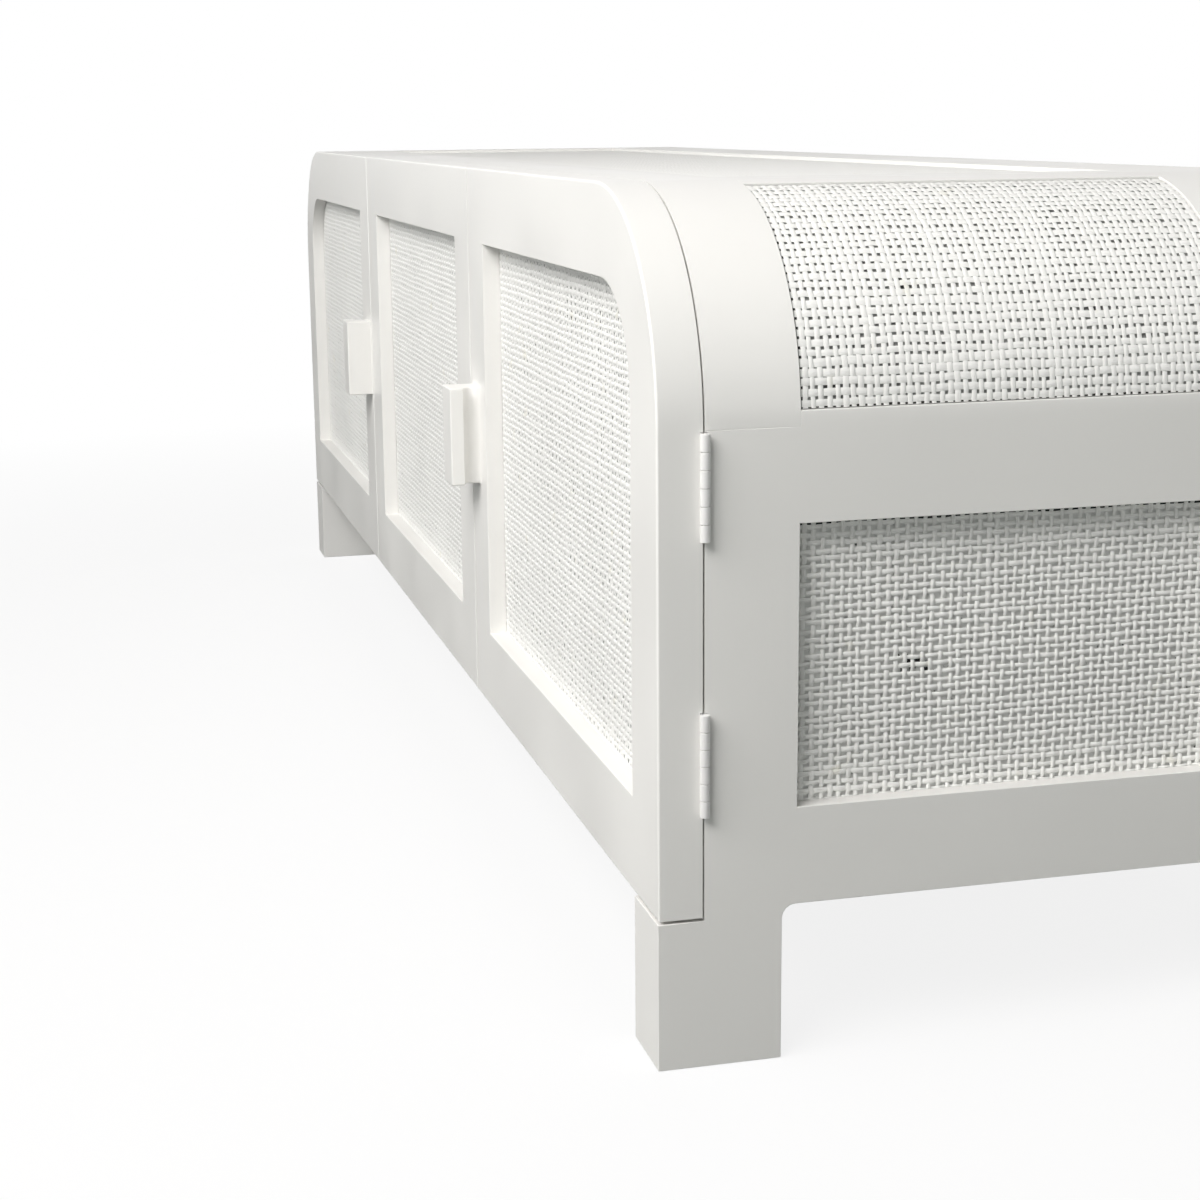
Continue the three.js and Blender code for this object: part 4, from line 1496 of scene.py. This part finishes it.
@dataclass
class CaseJoinery:
    """The case's painted framing, glued up from its members into two end frames and a top frame.

    Attributes:
        ends: The members of an end frame, without their side.
        tops: The members of the top frame at one end, without their side.
        rails: The top frame's long members.
        arris: Radius of the eased edges.
        joint: Width of the fine line where the top frame meets an end frame.
        radius: Outer radius of the curve.
        facets: Facets of a quarter turn of the curve.
        crossbar_turn: Degrees at which a crossbar ends on the curve.
        rail_rise: How far an end's middle rail reaches up the curve.
        near: How near the curve or a seam a point counts as on it.
        stop_room: Clearance between the top's cane and the wall that it ends at.
        stop_depth: Thickness of that wall.
        leg_top: Height below which a leg shows all round.
        rail_under: Height below which an end's bottom rail shows its underside.
        end_x: Distance from the middle beyond which a point lies on an end face.
        inner_x: Distance from the middle beyond which that underside lies.
        top_z: Height above which a point lies on the top face.
        lip: How far behind the front strips' front edges aren't eased, as the doors cover them.
    """

    ends: tuple[str, ...] = ("front_post", "bottom_end_rail", "middle_end_rail", "back_post")
    tops: tuple[str, ...] = ("front_curved_strip", "crossbar", "back_curved_strip")
    rails: tuple[str, ...] = ("front_top_rail", "back_top_rail")
    arris: float = 0.45 * MM
    joint: float = 0.25 * MM
    radius: float = 0.13
    facets: int = 30
    crossbar_turn: float = 79.0
    rail_rise: float = 9 * MM
    near: float = 0.4 * MM
    stop_room: float = 0.3 * MM
    stop_depth: float = 9 * MM
    leg_top: float = 0.0935
    rail_under: float = 0.0945
    end_x: float = 0.7995
    inner_x: float = 0.7
    top_z: float = 0.4995
    lip: float = 3 * MM

    def build(self) -> list[Piece]:
        """Makes the frames.

        Returns:
            The frames.
        """
        groups = {f"{side.word}_end_frame": [f"{side.word}_{part}" for part in self.ends] for side in Side}
        tops = [f"{side.word}_{part}" for side in Side for part in self.tops]
        groups["top_frame"] = [*self.rails, *tops]
        groups["back_lower_rail"] = ["back_rail"]
        frames = {name: self.glue_up(name, nodes) for name, nodes in groups.items()}
        for name, frame in frames.items():
            self.ease(frame)
            fit_out(fair(frame), JOINERY, "case", "paint", *groups[name])
        return list(frames.values())

    def glue_up(self, name: str, nodes: list[str]) -> Piece:
        """Joins copies of CAD members into one frame without seams.

        Args:
            name: The frame's name.
            nodes: Its members' nodes.

        Returns:
            The frame.
        """
        members = [self.fair_copy(node) for node in nodes]
        if "top" in name:
            members += [self.cane_stop(side) for side in Side]
        frame = carve(members[0], *members[1:], way="UNION")
        frame.name = name
        self.clean(frame)
        if "top" in name:
            with editing(frame):
                self.score(Vector((0, 0, CURVE_Z + self.rail_rise)), Vector((0, 0, 1)))
        return frame

    def cane_stop(self, side: Side) -> Piece:
        """Makes the upright wall that the top cane ends at, where a CAD crossbar's wall leans away.

        Args:
            side: The end that the crossbar is at.

        Returns:
            The wall.
        """
        cane, rail = Span.around("top_cane"), Span.around("front_top_rail")
        wall = side.value * (cane.high.x + self.stop_room)
        low_x, high_x = sorted((wall, wall + side.value * self.stop_depth))
        return block(f"{side.word}_cane_stop", Span(
            Vector((low_x, cane.low.y - MM, cane.low.z + self.stop_room)),
            Vector((high_x, cane.high.y + MM, rail.high.z))))

    @staticmethod
    def clean(piece: Piece) -> None:
        """Merges doubled corners and makes whole faces of what lies in one plane.

        Args:
            piece: The piece.
        """
        with editing(piece):
            bpy.ops.mesh.select_all(action="SELECT")
            bpy.ops.mesh.remove_doubles(threshold=0.01 * MM)
            bpy.ops.mesh.dissolve_limited(angle_limit=math.radians(0.3))

    def fair_copy(self, node: str) -> Piece:
        """Copies a CAD member, with whole faces and a finer curve.

        Args:
            node: The member's node.

        Returns:
            The copy.
        """
        piece = copy_of(bpy.data.objects[node], f"{node}_painted")
        piece.parent = None
        for key in list(piece.keys()):
            del piece[key]
        self.clean(piece)
        if not any(word in node for word in ("strip", "crossbar", "middle")):
            return piece
        way = 1 if node.startswith("right") else -1
        turns = [90 * step / self.facets for step in range(1, self.facets)] + [self.crossbar_turn]
        with editing(piece):
            for turn in map(math.radians, turns):
                self.score(Vector((way * CURVE_X, 0, CURVE_Z)),
                           Vector((-way * math.sin(turn), 0, math.cos(turn))))
        for vert in piece.data.vertices:
            out, up = abs(vert.co.x) - CURVE_X, vert.co.z - CURVE_Z
            reach = math.hypot(out, up)
            if min(out, up) > -1e-6 and abs(reach - self.radius) < self.near:
                vert.co.x = way * (CURVE_X + out * self.radius / reach)
                vert.co.z = CURVE_Z + up * self.radius / reach
        return piece

    @staticmethod
    def score(point: Vector, normal: Vector) -> None:
        """Adds the edges where a plane crosses the piece that is being edited."""
        bpy.ops.mesh.select_all(action="SELECT")
        bpy.ops.mesh.bisect(plane_co=point, plane_no=normal)

    def on_skin(self, spot: Vector) -> bool:
        """Tells whether a point lies on the case's outer skin or on a leg below it.

        Args:
            spot: The point.

        Returns:
            True where it shows from outside.
        """
        x, z = abs(spot.x), spot.z
        if z < self.leg_top:
            return True
        if x > CURVE_X and z > CURVE_Z:
            return math.hypot(x - CURVE_X, z - CURVE_Z) > self.radius - self.near
        return x > self.end_x or z > self.top_z or (x > self.inner_x and z < self.rail_under)

    def ease(self, piece: Piece) -> None:
        """Eases the frame's edges that show, and scores the line where another frame meets it.

        Args:
            piece: The frame.
        """
        front = Span.around("right_front_curved_strip").low.y + self.lip
        seams = Span.around("right_front_post").high.y, Span.around("right_back_post").low.y

        def meets(spot: Vector) -> bool:
            """Tests a point of the frame.

            Args:
                spot: The point.

            Returns:
                True where it lies on the line between the top frame and an end frame.
            """
            rise = spot.z - CURVE_Z
            beside = any(abs(spot.y - seam) < MM / 10 for seam in seams)
            return abs(rise) < MM / 10 or (beside and 0 < rise < self.rail_rise + MM / 20)

        def sharp(edge: Edge, joint: bool) -> bool:
            """Tests an edge of the frame.

            Args:
                edge: The edge.
                joint: True for the edges on such a line, False for the others.

            Returns:
                True where it is such an edge, shows and is still square.
            """
            spot = middle_of(edge)
            return (len(edge.link_faces) == 2 and edge.is_convex and edge.calc_face_angle(0) > 1
                    and self.on_skin(spot) and meets(spot) == joint
                    and (joint or spot.y > front or spot.z < self.leg_top))

        with editing(piece):
            for joint, width, segments in ((False, self.arris, 2), (True, self.joint, 1)):
                if pick(piece, edges=lambda e: sharp(e, joint)):
                    bpy.ops.mesh.bevel(offset=width, segments=segments, affect="EDGES")


@dataclass
class CaseInside:
    """Boards inside the case, which keep their CAD shapes.

    Attributes:
        boards: The boards' nodes.
    """

    boards: tuple[str, ...] = ("floor", "partition", "back_panel", "left_shelf", "right_shelf", "top_board")

    def build(self, nodes: dict[str, Piece]) -> None:
        """Paints the boards.

        Args:
            nodes: The CAD nodes by name.
        """
        for name in self.boards:
            dress_node(nodes[name], BOARD)


def dress_node(node: Piece, finish: Finish) -> None:
    """Gives a CAD node a finish, in its object's own slots.

    Args:
        node: The node, which keeps its shape.
        finish: Its finish.
    """
    if not node.data.materials:
        node.data.materials.append(None)
    for slot in node.material_slots:
        slot.link = "OBJECT"
        slot.material = finish.material()
    log.info("%s keeps its shape, in %s", node.name, finish.name)


# ---- Hinges and catches


@dataclass
class ButtHinge:
    """A painted butt hinge: a leaf on the door, a leaf on the post, and a pin.

    Attributes:
        side: The end it is at.
        place: lower or upper.
        knuckles: How many knuckles there are on both leaves together.
        barrel: The barrel's radius.
        gap: Gap between knuckles.
        pin: The pin's radius.
        length: The length that the knuckles share.
        edge_x: Distance from the middle at which a leaf ends, just inside the end face.
        strap_x: Distance from the middle at which a knuckle's strap ends, inside its leaf.
        half_gap: Half the gap between the door and the post.
        sunk: How deep a leaf lies in its seat.
        proud: How far a leaf stands out of its seat.
        arris: How much a leaf's edges are eased.
        rim: How much a knuckle's rims are eased.
        screws: Places of a leaf's screws from their middle, outwards and up.
        screw_inset: How far that middle lies inward of the leaf's middle.
        screw_lift: How far the heads stand out of the leaf.
    """

    side: Side
    place: str
    knuckles: int = 6
    barrel: float = 2.8 * MM
    gap: float = 0.3 * MM
    pin: float = 1.5 * MM
    length: float = 60 * MM
    edge_x: float = 0.7998
    strap_x: float = 0.7988
    half_gap: float = 0.75 * MM
    sunk: float = 0.9 * MM
    proud: float = 0.3 * MM
    arris: float = 0.2 * MM
    rim: float = 0.35 * MM
    screws: tuple[tuple[float, float], ...] = ((0, -22 * MM), (1.5 * MM, 0), (0, 22 * MM))
    screw_inset: float = 2 * MM
    screw_lift: float = 0.05 * MM

    def build(self) -> list[Piece]:
        """Makes both leaves and their screws.

        Returns:
            The leaves and the sets of screws.
        """
        door, post = f"{self.stem}_door_leaf", f"{self.stem}_frame_leaf"
        body = f"{self.side.word}_door"
        return [
            self.make_leaf(door, body, 1, pinned=False), self.make_screws(door, body, 1),
            self.make_leaf(post, "case", 0, pinned=True), self.make_screws(post, "case", -1)]

    def plate(self, node: str) -> Span:
        """Finds the flat part of a leaf.

        Args:
            node: The leaf's CAD node.

        Returns:
            Its box.
        """
        plate = Span.around(node)
        if self.side is Side.RIGHT:
            plate.high.x = self.edge_x
        else:
            plate.low.x = -self.edge_x
        if "door_leaf" in node:
            face = self.barrel_y - self.half_gap
            plate.low.y, plate.high.y = face - self.sunk, face + self.proud
        else:
            face = self.barrel_y + self.half_gap
            plate.low.y, plate.high.y = face - self.proud, face + self.sunk
        return plate

    @property
    def stem(self) -> str:
        """The start of both leaves' node names."""
        return f"{self.side.word}_{self.place}"

    @property
    def barrel_x(self) -> float:
        """X of the barrel's axis."""
        return Span.around(f"{self.stem}_frame_leaf").edge(self.side) - self.side.value * self.barrel

    @property
    def barrel_y(self) -> float:
        """Y of the barrel's axis."""
        return Span.around(f"{self.stem}_frame_leaf").low.y + self.barrel

    def make_leaf(self, node: str, body: str, first: int, pinned: bool) -> Piece:
        """Models a leaf with every other knuckle.

        Args:
            node: The leaf's CAD node.
            body: The body it rides on.
            first: The first knuckle from below that the leaf has.
            pinned: Whether the pin is fast in this leaf.

        Returns:
            The leaf.
        """
        plate = self.plate(node)
        length = self.length / self.knuckles
        parts = [block(f"{node}_painted", plate)]
        with editing(parts[0]):
            pick(parts[0], edges=lambda e: abs(middle_of(e).y - plate.middle.y) > plate.size.y / 3)
            bpy.ops.mesh.bevel(offset=self.arris, segments=1, affect="EDGES")
        for knuckle in range(first, self.knuckles, 2):
            centre = Vector((self.barrel_x, self.barrel_y, plate.low.z + (knuckle + 0.5) * length))
            parts.append(self.make_knuckle(centre, length - self.gap, plate))
        if pinned:
            centre = Vector((self.barrel_x, self.barrel_y, plate.middle.z))
            parts.append(disc("pin", Axis.Z, self.pin, centre, plate.size.z - 0.2 * MM, 16))
        whole = merge(f"{node}_painted", parts)
        return fit_out(fair(whole, 30), HINGE_PAINT, body, "hinge_paint", node)

    def make_knuckle(self, centre: Vector, length: float, plate: Span) -> Piece:
        """Models a knuckle with softened rims and the strap that joins it to the plate.

        Args:
            centre: The knuckle's middle.
            length: Its length.
            plate: The flat part of its leaf.

        Returns:
            The knuckle and its strap, in one piece.
        """
        knuckle = disc("knuckle", Axis.Z, self.barrel, centre, length, 24)
        with editing(knuckle):
            pick(knuckle, edges=lambda e: abs(abs(middle_of(e).z - centre.z) - length / 2) < 0.05 * MM)
            bpy.ops.mesh.bevel(offset=self.rim, segments=2, affect="EDGES")
        low = Vector((0, plate.low.y, centre.z - length / 2))
        high = Vector((0, plate.high.y, centre.z + length / 2))
        low.x, high.x = sorted((self.barrel_x, self.side.value * self.strap_x))
        return merge("knuckle", [knuckle, block("strap", Span(low, high))])

    def make_screws(self, node: str, body: str, way: int) -> Piece:
        """Models the leaf's three countersunk screws, seen when the door is open.

        Args:
            node: The leaf's CAD node.
            body: The body they ride on.
            way: The way along Y that their heads look.

        Returns:
            The screws, in one piece.
        """
        plate = self.plate(node)
        face = plate.high.y if way > 0 else plate.low.y
        x, y = plate.middle.x - self.side.value * self.screw_inset, face + way * self.screw_lift
        spots = [Vector((x + shift, y, plate.middle.z + rise)) for shift, rise in self.screws]
        heads = ScrewHead().drive(f"{node}_screws", Axis.Y, way, spots)
        return fit_out(heads, HINGE_PAINT, body, "hinge_paint")


@dataclass
class ConcealedHinge:
    """A cup hinge of the middle door, which keeps its CAD shape and gets screws.

    Attributes:
        place: lower or upper.
        head: Radius of the screws' heads.
        head_lift: How far the heads stand out of the plate.
        cup_spread: Distance of the cup's screws from its middle, up and down.
        cup_back: How far they lie from the cup's centre, away from the door's edge.
        arm_spread: Distance of the arm's screws from its middle, up and down.
        arm_reach: How far behind the arm's front they lie.
        arm_plate: Thickness of the arm's plate.
    """

    place: str
    head: float = 3.2 * MM
    head_lift: float = 0.1 * MM
    cup_spread: float = 22.5 * MM
    cup_back: float = 3 * MM
    arm_spread: float = 17 * MM
    arm_reach: float = 28.5 * MM
    arm_plate: float = 3 * MM

    def build(self, nodes: dict[str, Piece]) -> list[Piece]:
        """Dresses the cup and the arm and adds their screws.

        Args:
            nodes: The CAD nodes by name.

        Returns:
            The two sets of screws.
        """
        for part in ("cup", "arm"):
            dress_node(nodes[f"{self.place}_hinge_{part}"], PLATED)
        cup, arm = Span.around(f"{self.place}_hinge_cup"), Span.around(f"{self.place}_hinge_arm")
        in_cup = [Vector((cup.high.x - CUP_INSET - self.cup_back, cup.high.y + self.head_lift,
                          cup.middle.z + way * self.cup_spread)) for way in (-1, 1)]
        in_arm = [Vector((arm.high.x - self.arm_plate - self.head_lift, arm.low.y + self.arm_reach,
                          arm.middle.z + way * self.arm_spread)) for way in (-1, 1)]
        screw = ScrewHead(radius=self.head)
        cup_screws = screw.drive(f"{self.place}_cup_screws", Axis.Y, 1, in_cup)
        fit_out(cup_screws, SCREW, "middle_door", "steel")
        arm_screws = screw.drive(f"{self.place}_arm_screws", Axis.X, -1, in_arm)
        return [cup_screws, fit_out(arm_screws, SCREW, "case", "steel")]


@dataclass
class Catch:
    """A magnetic catch: the magnet's face under the top rail and a strike plate on the door.

    Attributes:
        word: The door's word.
        x: X of the catch's middle.
        magnet: The magnet's length, thickness and height.
        magnet_rise: Height of its middle over the rail's underside.
        plate: The strike plate's length, thickness and height.
    """

    word: str
    x: float
    magnet: tuple[float, float, float] = (26 * MM, 0.6 * MM, 6 * MM)
    magnet_rise: float = 7 * MM
    plate: tuple[float, float, float] = (34 * MM, 0.9 * MM, 11 * MM)

    def build(self) -> list[Piece]:
        """Makes the magnet's face and the strike plate.

        Returns:
            The two pieces.
        """
        rail = Span.around("front_top_rail")
        door = Span.around(f"{self.word}_door_top_rail")
        magnet = Vector((self.x, rail.low.y - 0.1 * MM, rail.low.z + self.magnet_rise))
        face = self.slab(f"{self.word}_catch_magnet", magnet, Vector(self.magnet), 0.25 * MM)
        plate = Vector((self.x, door.high.y + self.plate[1] / 2, magnet.z))
        strike = self.slab(f"{self.word}_catch_plate", plate, Vector(self.plate), 0.3 * MM)
        return [fit_out(smooth(face), MAGNET, "case", "steel"),
                fit_out(smooth(strike), PLATED, f"{self.word}_door", "steel")]

    @staticmethod
    def slab(name: str, centre: Vector, size: Vector, arris: float) -> Piece:
        """Models a small plate with eased edges.

        Args:
            name: Its name.
            centre: Its middle.
            size: Its three lengths.
            arris: How much its edges are eased.

        Returns:
            The plate.
        """
        plate = block(name, Span(centre - size / 2, centre + size / 2))
        with editing(plate):
            bpy.ops.mesh.select_all(action="SELECT")
            bpy.ops.mesh.bevel(offset=arris, segments=2, affect="EDGES")
        return plate


# ---- Studio


@dataclass(frozen=True)
class SoftLamp:
    """A soft rectangular lamp that isn't seen itself.

    Attributes:
        name: Its name.
        place: Its place.
        target: The point it looks at.
        size: Its width and height.
        power: Its power, in watts.
        glossy: Whether gloss shows it.
        tone: Its colour.
    """

    name: str
    place: tuple[float, float, float]
    target: tuple[float, float, float]
    size: tuple[float, float]
    power: float
    glossy: bool
    tone: tuple[float, float, float] = (1.0, 0.985, 0.98)

    def hang(self) -> None:
        """Adds the lamp to the scene."""
        data = bpy.data.lights.new(self.name, "AREA")
        data.shape = "RECTANGLE"
        data.size, data.size_y = self.size
        data.energy = self.power
        data.color = self.tone
        lamp = bpy.data.objects.new(self.name, data)
        bpy.context.scene.collection.objects.link(lamp)
        lamp.location = self.place
        aim = Vector(self.target) - Vector(self.place)
        lamp.rotation_euler = aim.to_track_quat("-Z", "Y").to_euler()
        lamp.visible_camera = False
        lamp.visible_glossy = self.glossy


KEY = SoftLamp("key", (1.65, -1.85, 2.2), (0.4, 0.0, 0.3), (2.2, 1.6), 103, False, (1.0, 0.985, 0.975))
BEFORE_DOORS = SoftLamp("before_doors", (-0.1, -3.0, 1.5), (0.1, 0.0, 0.3), (2.8, 1.6), 15, True)
BEHIND = SoftLamp("behind", (-2.6, 2.7, 0.65), (-0.2, 0.1, 0.25), (2.2, 1.0), 55, False)


@dataclass
class Studio:
    """The floor, the lamps, the surroundings and the camera.

    Attributes:
        eye: The camera's place.
        yaw: Degrees from +Y towards -X that the camera looks.
        pitch: Degrees that it looks up.
        roll: Degrees that it leans.
        lens: Focal length, for a sensor 36 mm wide.
        surround: Colour of the light from all round.
        strength: Strength of that light from below the horizon.
        lamps: The soft lamps.
        floor_tone: The floor's colour, as it lights the cabinet.
        floor_seen: The floor's colour to the eye, where light and shadow fall on it.
        floor_glow: Share of plain white in the floor near the cabinet.
        floor_fade: Distances over which that share rises to the whole.
        floor_drop: How far the floor lies under the feet.
    """

    eye: tuple[float, float, float] = (1.9068, -0.5126, 0.5359)
    yaw: float = 75.9307
    pitch: float = -12.6332
    roll: float = -0.5645
    lens: float = 64.592
    surround: tuple[float, float, float] = (0.95, 1.0, 0.965)
    strength: float = 3.4
    lamps: tuple[SoftLamp, ...] = (KEY, BEFORE_DOORS, BEHIND)
    floor_tone: tuple[float, float, float] = (0.1, 0.1, 0.1)
    floor_seen: tuple[float, float, float] = (0.85, 0.85, 0.85)
    floor_glow: float = 0.85
    floor_fade: tuple[float, float] = (0.9, 2.0)
    floor_drop: float = 0.4 * MM

    def build(self) -> None:
        """Makes the floor, the lamps, the surroundings and the camera."""
        self.make_floor()
        for lamp in self.lamps:
            lamp.hang()
        self.make_world()
        self.make_camera()

    def make_floor(self) -> None:
        """Adds a plain pale floor that shows the cabinet's shadow and fades to white further off."""
        deselect()
        bpy.ops.mesh.primitive_plane_add(size=30, location=(0, 0, -self.floor_drop))
        floor = settle(bpy.context.object)
        floor.name = "floor_plane"
        material = bpy.data.materials.new("pale_floor")
        material.use_nodes = True
        tree = material.node_tree
        shader = tree.nodes["Principled BSDF"]
        shader.inputs["Roughness"].default_value = 0.9
        seen = tree.nodes.new("ShaderNodeLightPath").outputs["Is Camera Ray"]
        pale = tree.nodes.new("ShaderNodeMix")
        pale.data_type = "RGBA"
        pale.inputs["A"].default_value = (*self.floor_tone, 1)
        pale.inputs["B"].default_value = (*self.floor_seen, 1)
        tree.links.new(seen, pale.inputs["Factor"])
        tree.links.new(pale.outputs["Result"], shader.inputs["Base Color"])
        glow = tree.nodes.new("ShaderNodeEmission")
        far = tree.nodes.new("ShaderNodeVectorMath")
        far.operation = "LENGTH"
        tree.links.new(tree.nodes.new("ShaderNodeTexCoord").outputs["Object"], far.inputs[0])
        fade = Finish.ramp(tree, far.outputs["Value"], *self.floor_fade, self.floor_glow, 1.0)
        share = SpeckledPaint.joined(tree, "MULTIPLY", seen, fade)
        mix = tree.nodes.new("ShaderNodeMixShader")
        tree.links.new(share, mix.inputs["Fac"])
        tree.links.new(shader.outputs["BSDF"], mix.inputs[1])
        tree.links.new(glow.outputs["Emission"], mix.inputs[2])
        tree.links.new(mix.outputs["Shader"], tree.nodes["Material Output"].inputs["Surface"])
        floor.data.materials.append(material)

    def make_world(self) -> None:
        """Sets the surroundings: white to the eye and to gloss, and soft light from low all round."""
        world = bpy.data.worlds.new("studio")
        bpy.context.scene.world = world
        world.use_nodes = True
        tree = world.node_tree
        soft = tree.nodes["Background"]
        soft.inputs["Color"].default_value = (*self.surround, 1)
        parts = tree.nodes.new("ShaderNodeSeparateXYZ")
        tree.links.new(tree.nodes.new("ShaderNodeTexCoord").outputs["Generated"], parts.inputs[0])
        level = Finish.ramp(tree, parts.outputs["Z"], -0.2, 0.3, self.strength, 0.0)
        tree.links.new(level, soft.inputs["Strength"])
        white = tree.nodes.new("ShaderNodeBackground")
        white.inputs["Color"].default_value = (1, 1, 1, 1)
        rays = tree.nodes.new("ShaderNodeLightPath")
        seen = rays.outputs["Is Camera Ray"]
        for kind in ("Is Glossy Ray", "Is Transmission Ray"):
            seen = SpeckledPaint.joined(tree, "MAXIMUM", seen, rays.outputs[kind])
        mix = tree.nodes.new("ShaderNodeMixShader")
        tree.links.new(seen, mix.inputs["Fac"])
        tree.links.new(soft.outputs["Background"], mix.inputs[1])
        tree.links.new(white.outputs["Background"], mix.inputs[2])
        tree.links.new(mix.outputs["Shader"], tree.nodes["World Output"].inputs["Surface"])

    def make_camera(self) -> None:
        """Sets up the camera at the photograph's viewing angle."""
        yaw, pitch, roll = (math.radians(turn) for turn in (self.yaw, self.pitch, self.roll))
        ahead = Vector((-math.sin(yaw) * math.cos(pitch), math.cos(yaw) * math.cos(pitch), math.sin(pitch)))
        right = Vector((math.cos(yaw), math.sin(yaw), 0))
        up = right.cross(ahead)
        across = math.cos(roll) * right + math.sin(roll) * up
        upright = -math.sin(roll) * right + math.cos(roll) * up
        data = bpy.data.cameras.new("camera")
        data.lens = self.lens
        data.sensor_width = 36
        data.clip_start = 0.01
        camera = bpy.data.objects.new("camera", data)
        bpy.context.scene.collection.objects.link(camera)
        turn = Matrix((across, upright, -ahead)).transposed().to_4x4()
        camera.matrix_world = Matrix.Translation(self.eye) @ turn
        bpy.context.scene.camera = camera
        bpy.context.scene.view_settings.view_transform = "Standard"


def main() -> None:
    """Builds the cabinet's pieces in order, then the studio."""
    logging.basicConfig(level=logging.INFO, format="%(name)s: %(message)s")
    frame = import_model()
    nodes = frame["nodes"]
    deselect()
    CaseJoinery().build()
    CaseInside().build(nodes)
    Door("right", Side.RIGHT, seed=11).build()
    Door("middle", None, seed=18).build()
    Door("left", Side.LEFT, seed=25).build()
    for side in Side:
        # The right end's lining is white with painted shade along its top; the left end's is the dark
        # lining of painted shade, and the curve's lining is grey painted shade.
        CanePanel(f"{side.word}_end_cane", "case", Axis.X, side.value, close=True, strand=2.75 * MM,
                  thick=0.9 * MM, lift=0.4 * MM, seed=3 + side.value,
                  lining_finish=END_LINING_TOP_SHADE if side is Side.RIGHT else LINING_SHADE).build()
        CurvedCanePanel(f"{side.word}_curved_cane", "case", Axis.X, side.value, close=True, swap=True,
                        strand=4.25 * MM, narrow=0.74, thick=0.5 * MM, lift=0.2 * MM, lining=1.1 * MM,
                        lining_finish=CURVE_LINING_SHADE, seed=8 + side.value, side=side).build()
        for place in ("lower", "upper"):
            ButtHinge(side, place).build()
    CanePanel("top_cane", "case", Axis.Z, 1, lining_finish=TOP_LINING, pieces=3, strand=3.9 * MM,
              thick=0.3 * MM, lift=0.09 * MM, lining=2.3 * MM, seed=40).build()
    for place in ("lower", "upper"):
        ConcealedHinge(place).build(nodes)
    for word, x in CATCHES.items():
        Catch(word, x).build()
    Studio().build()


if __name__ == "__main__":
    main()
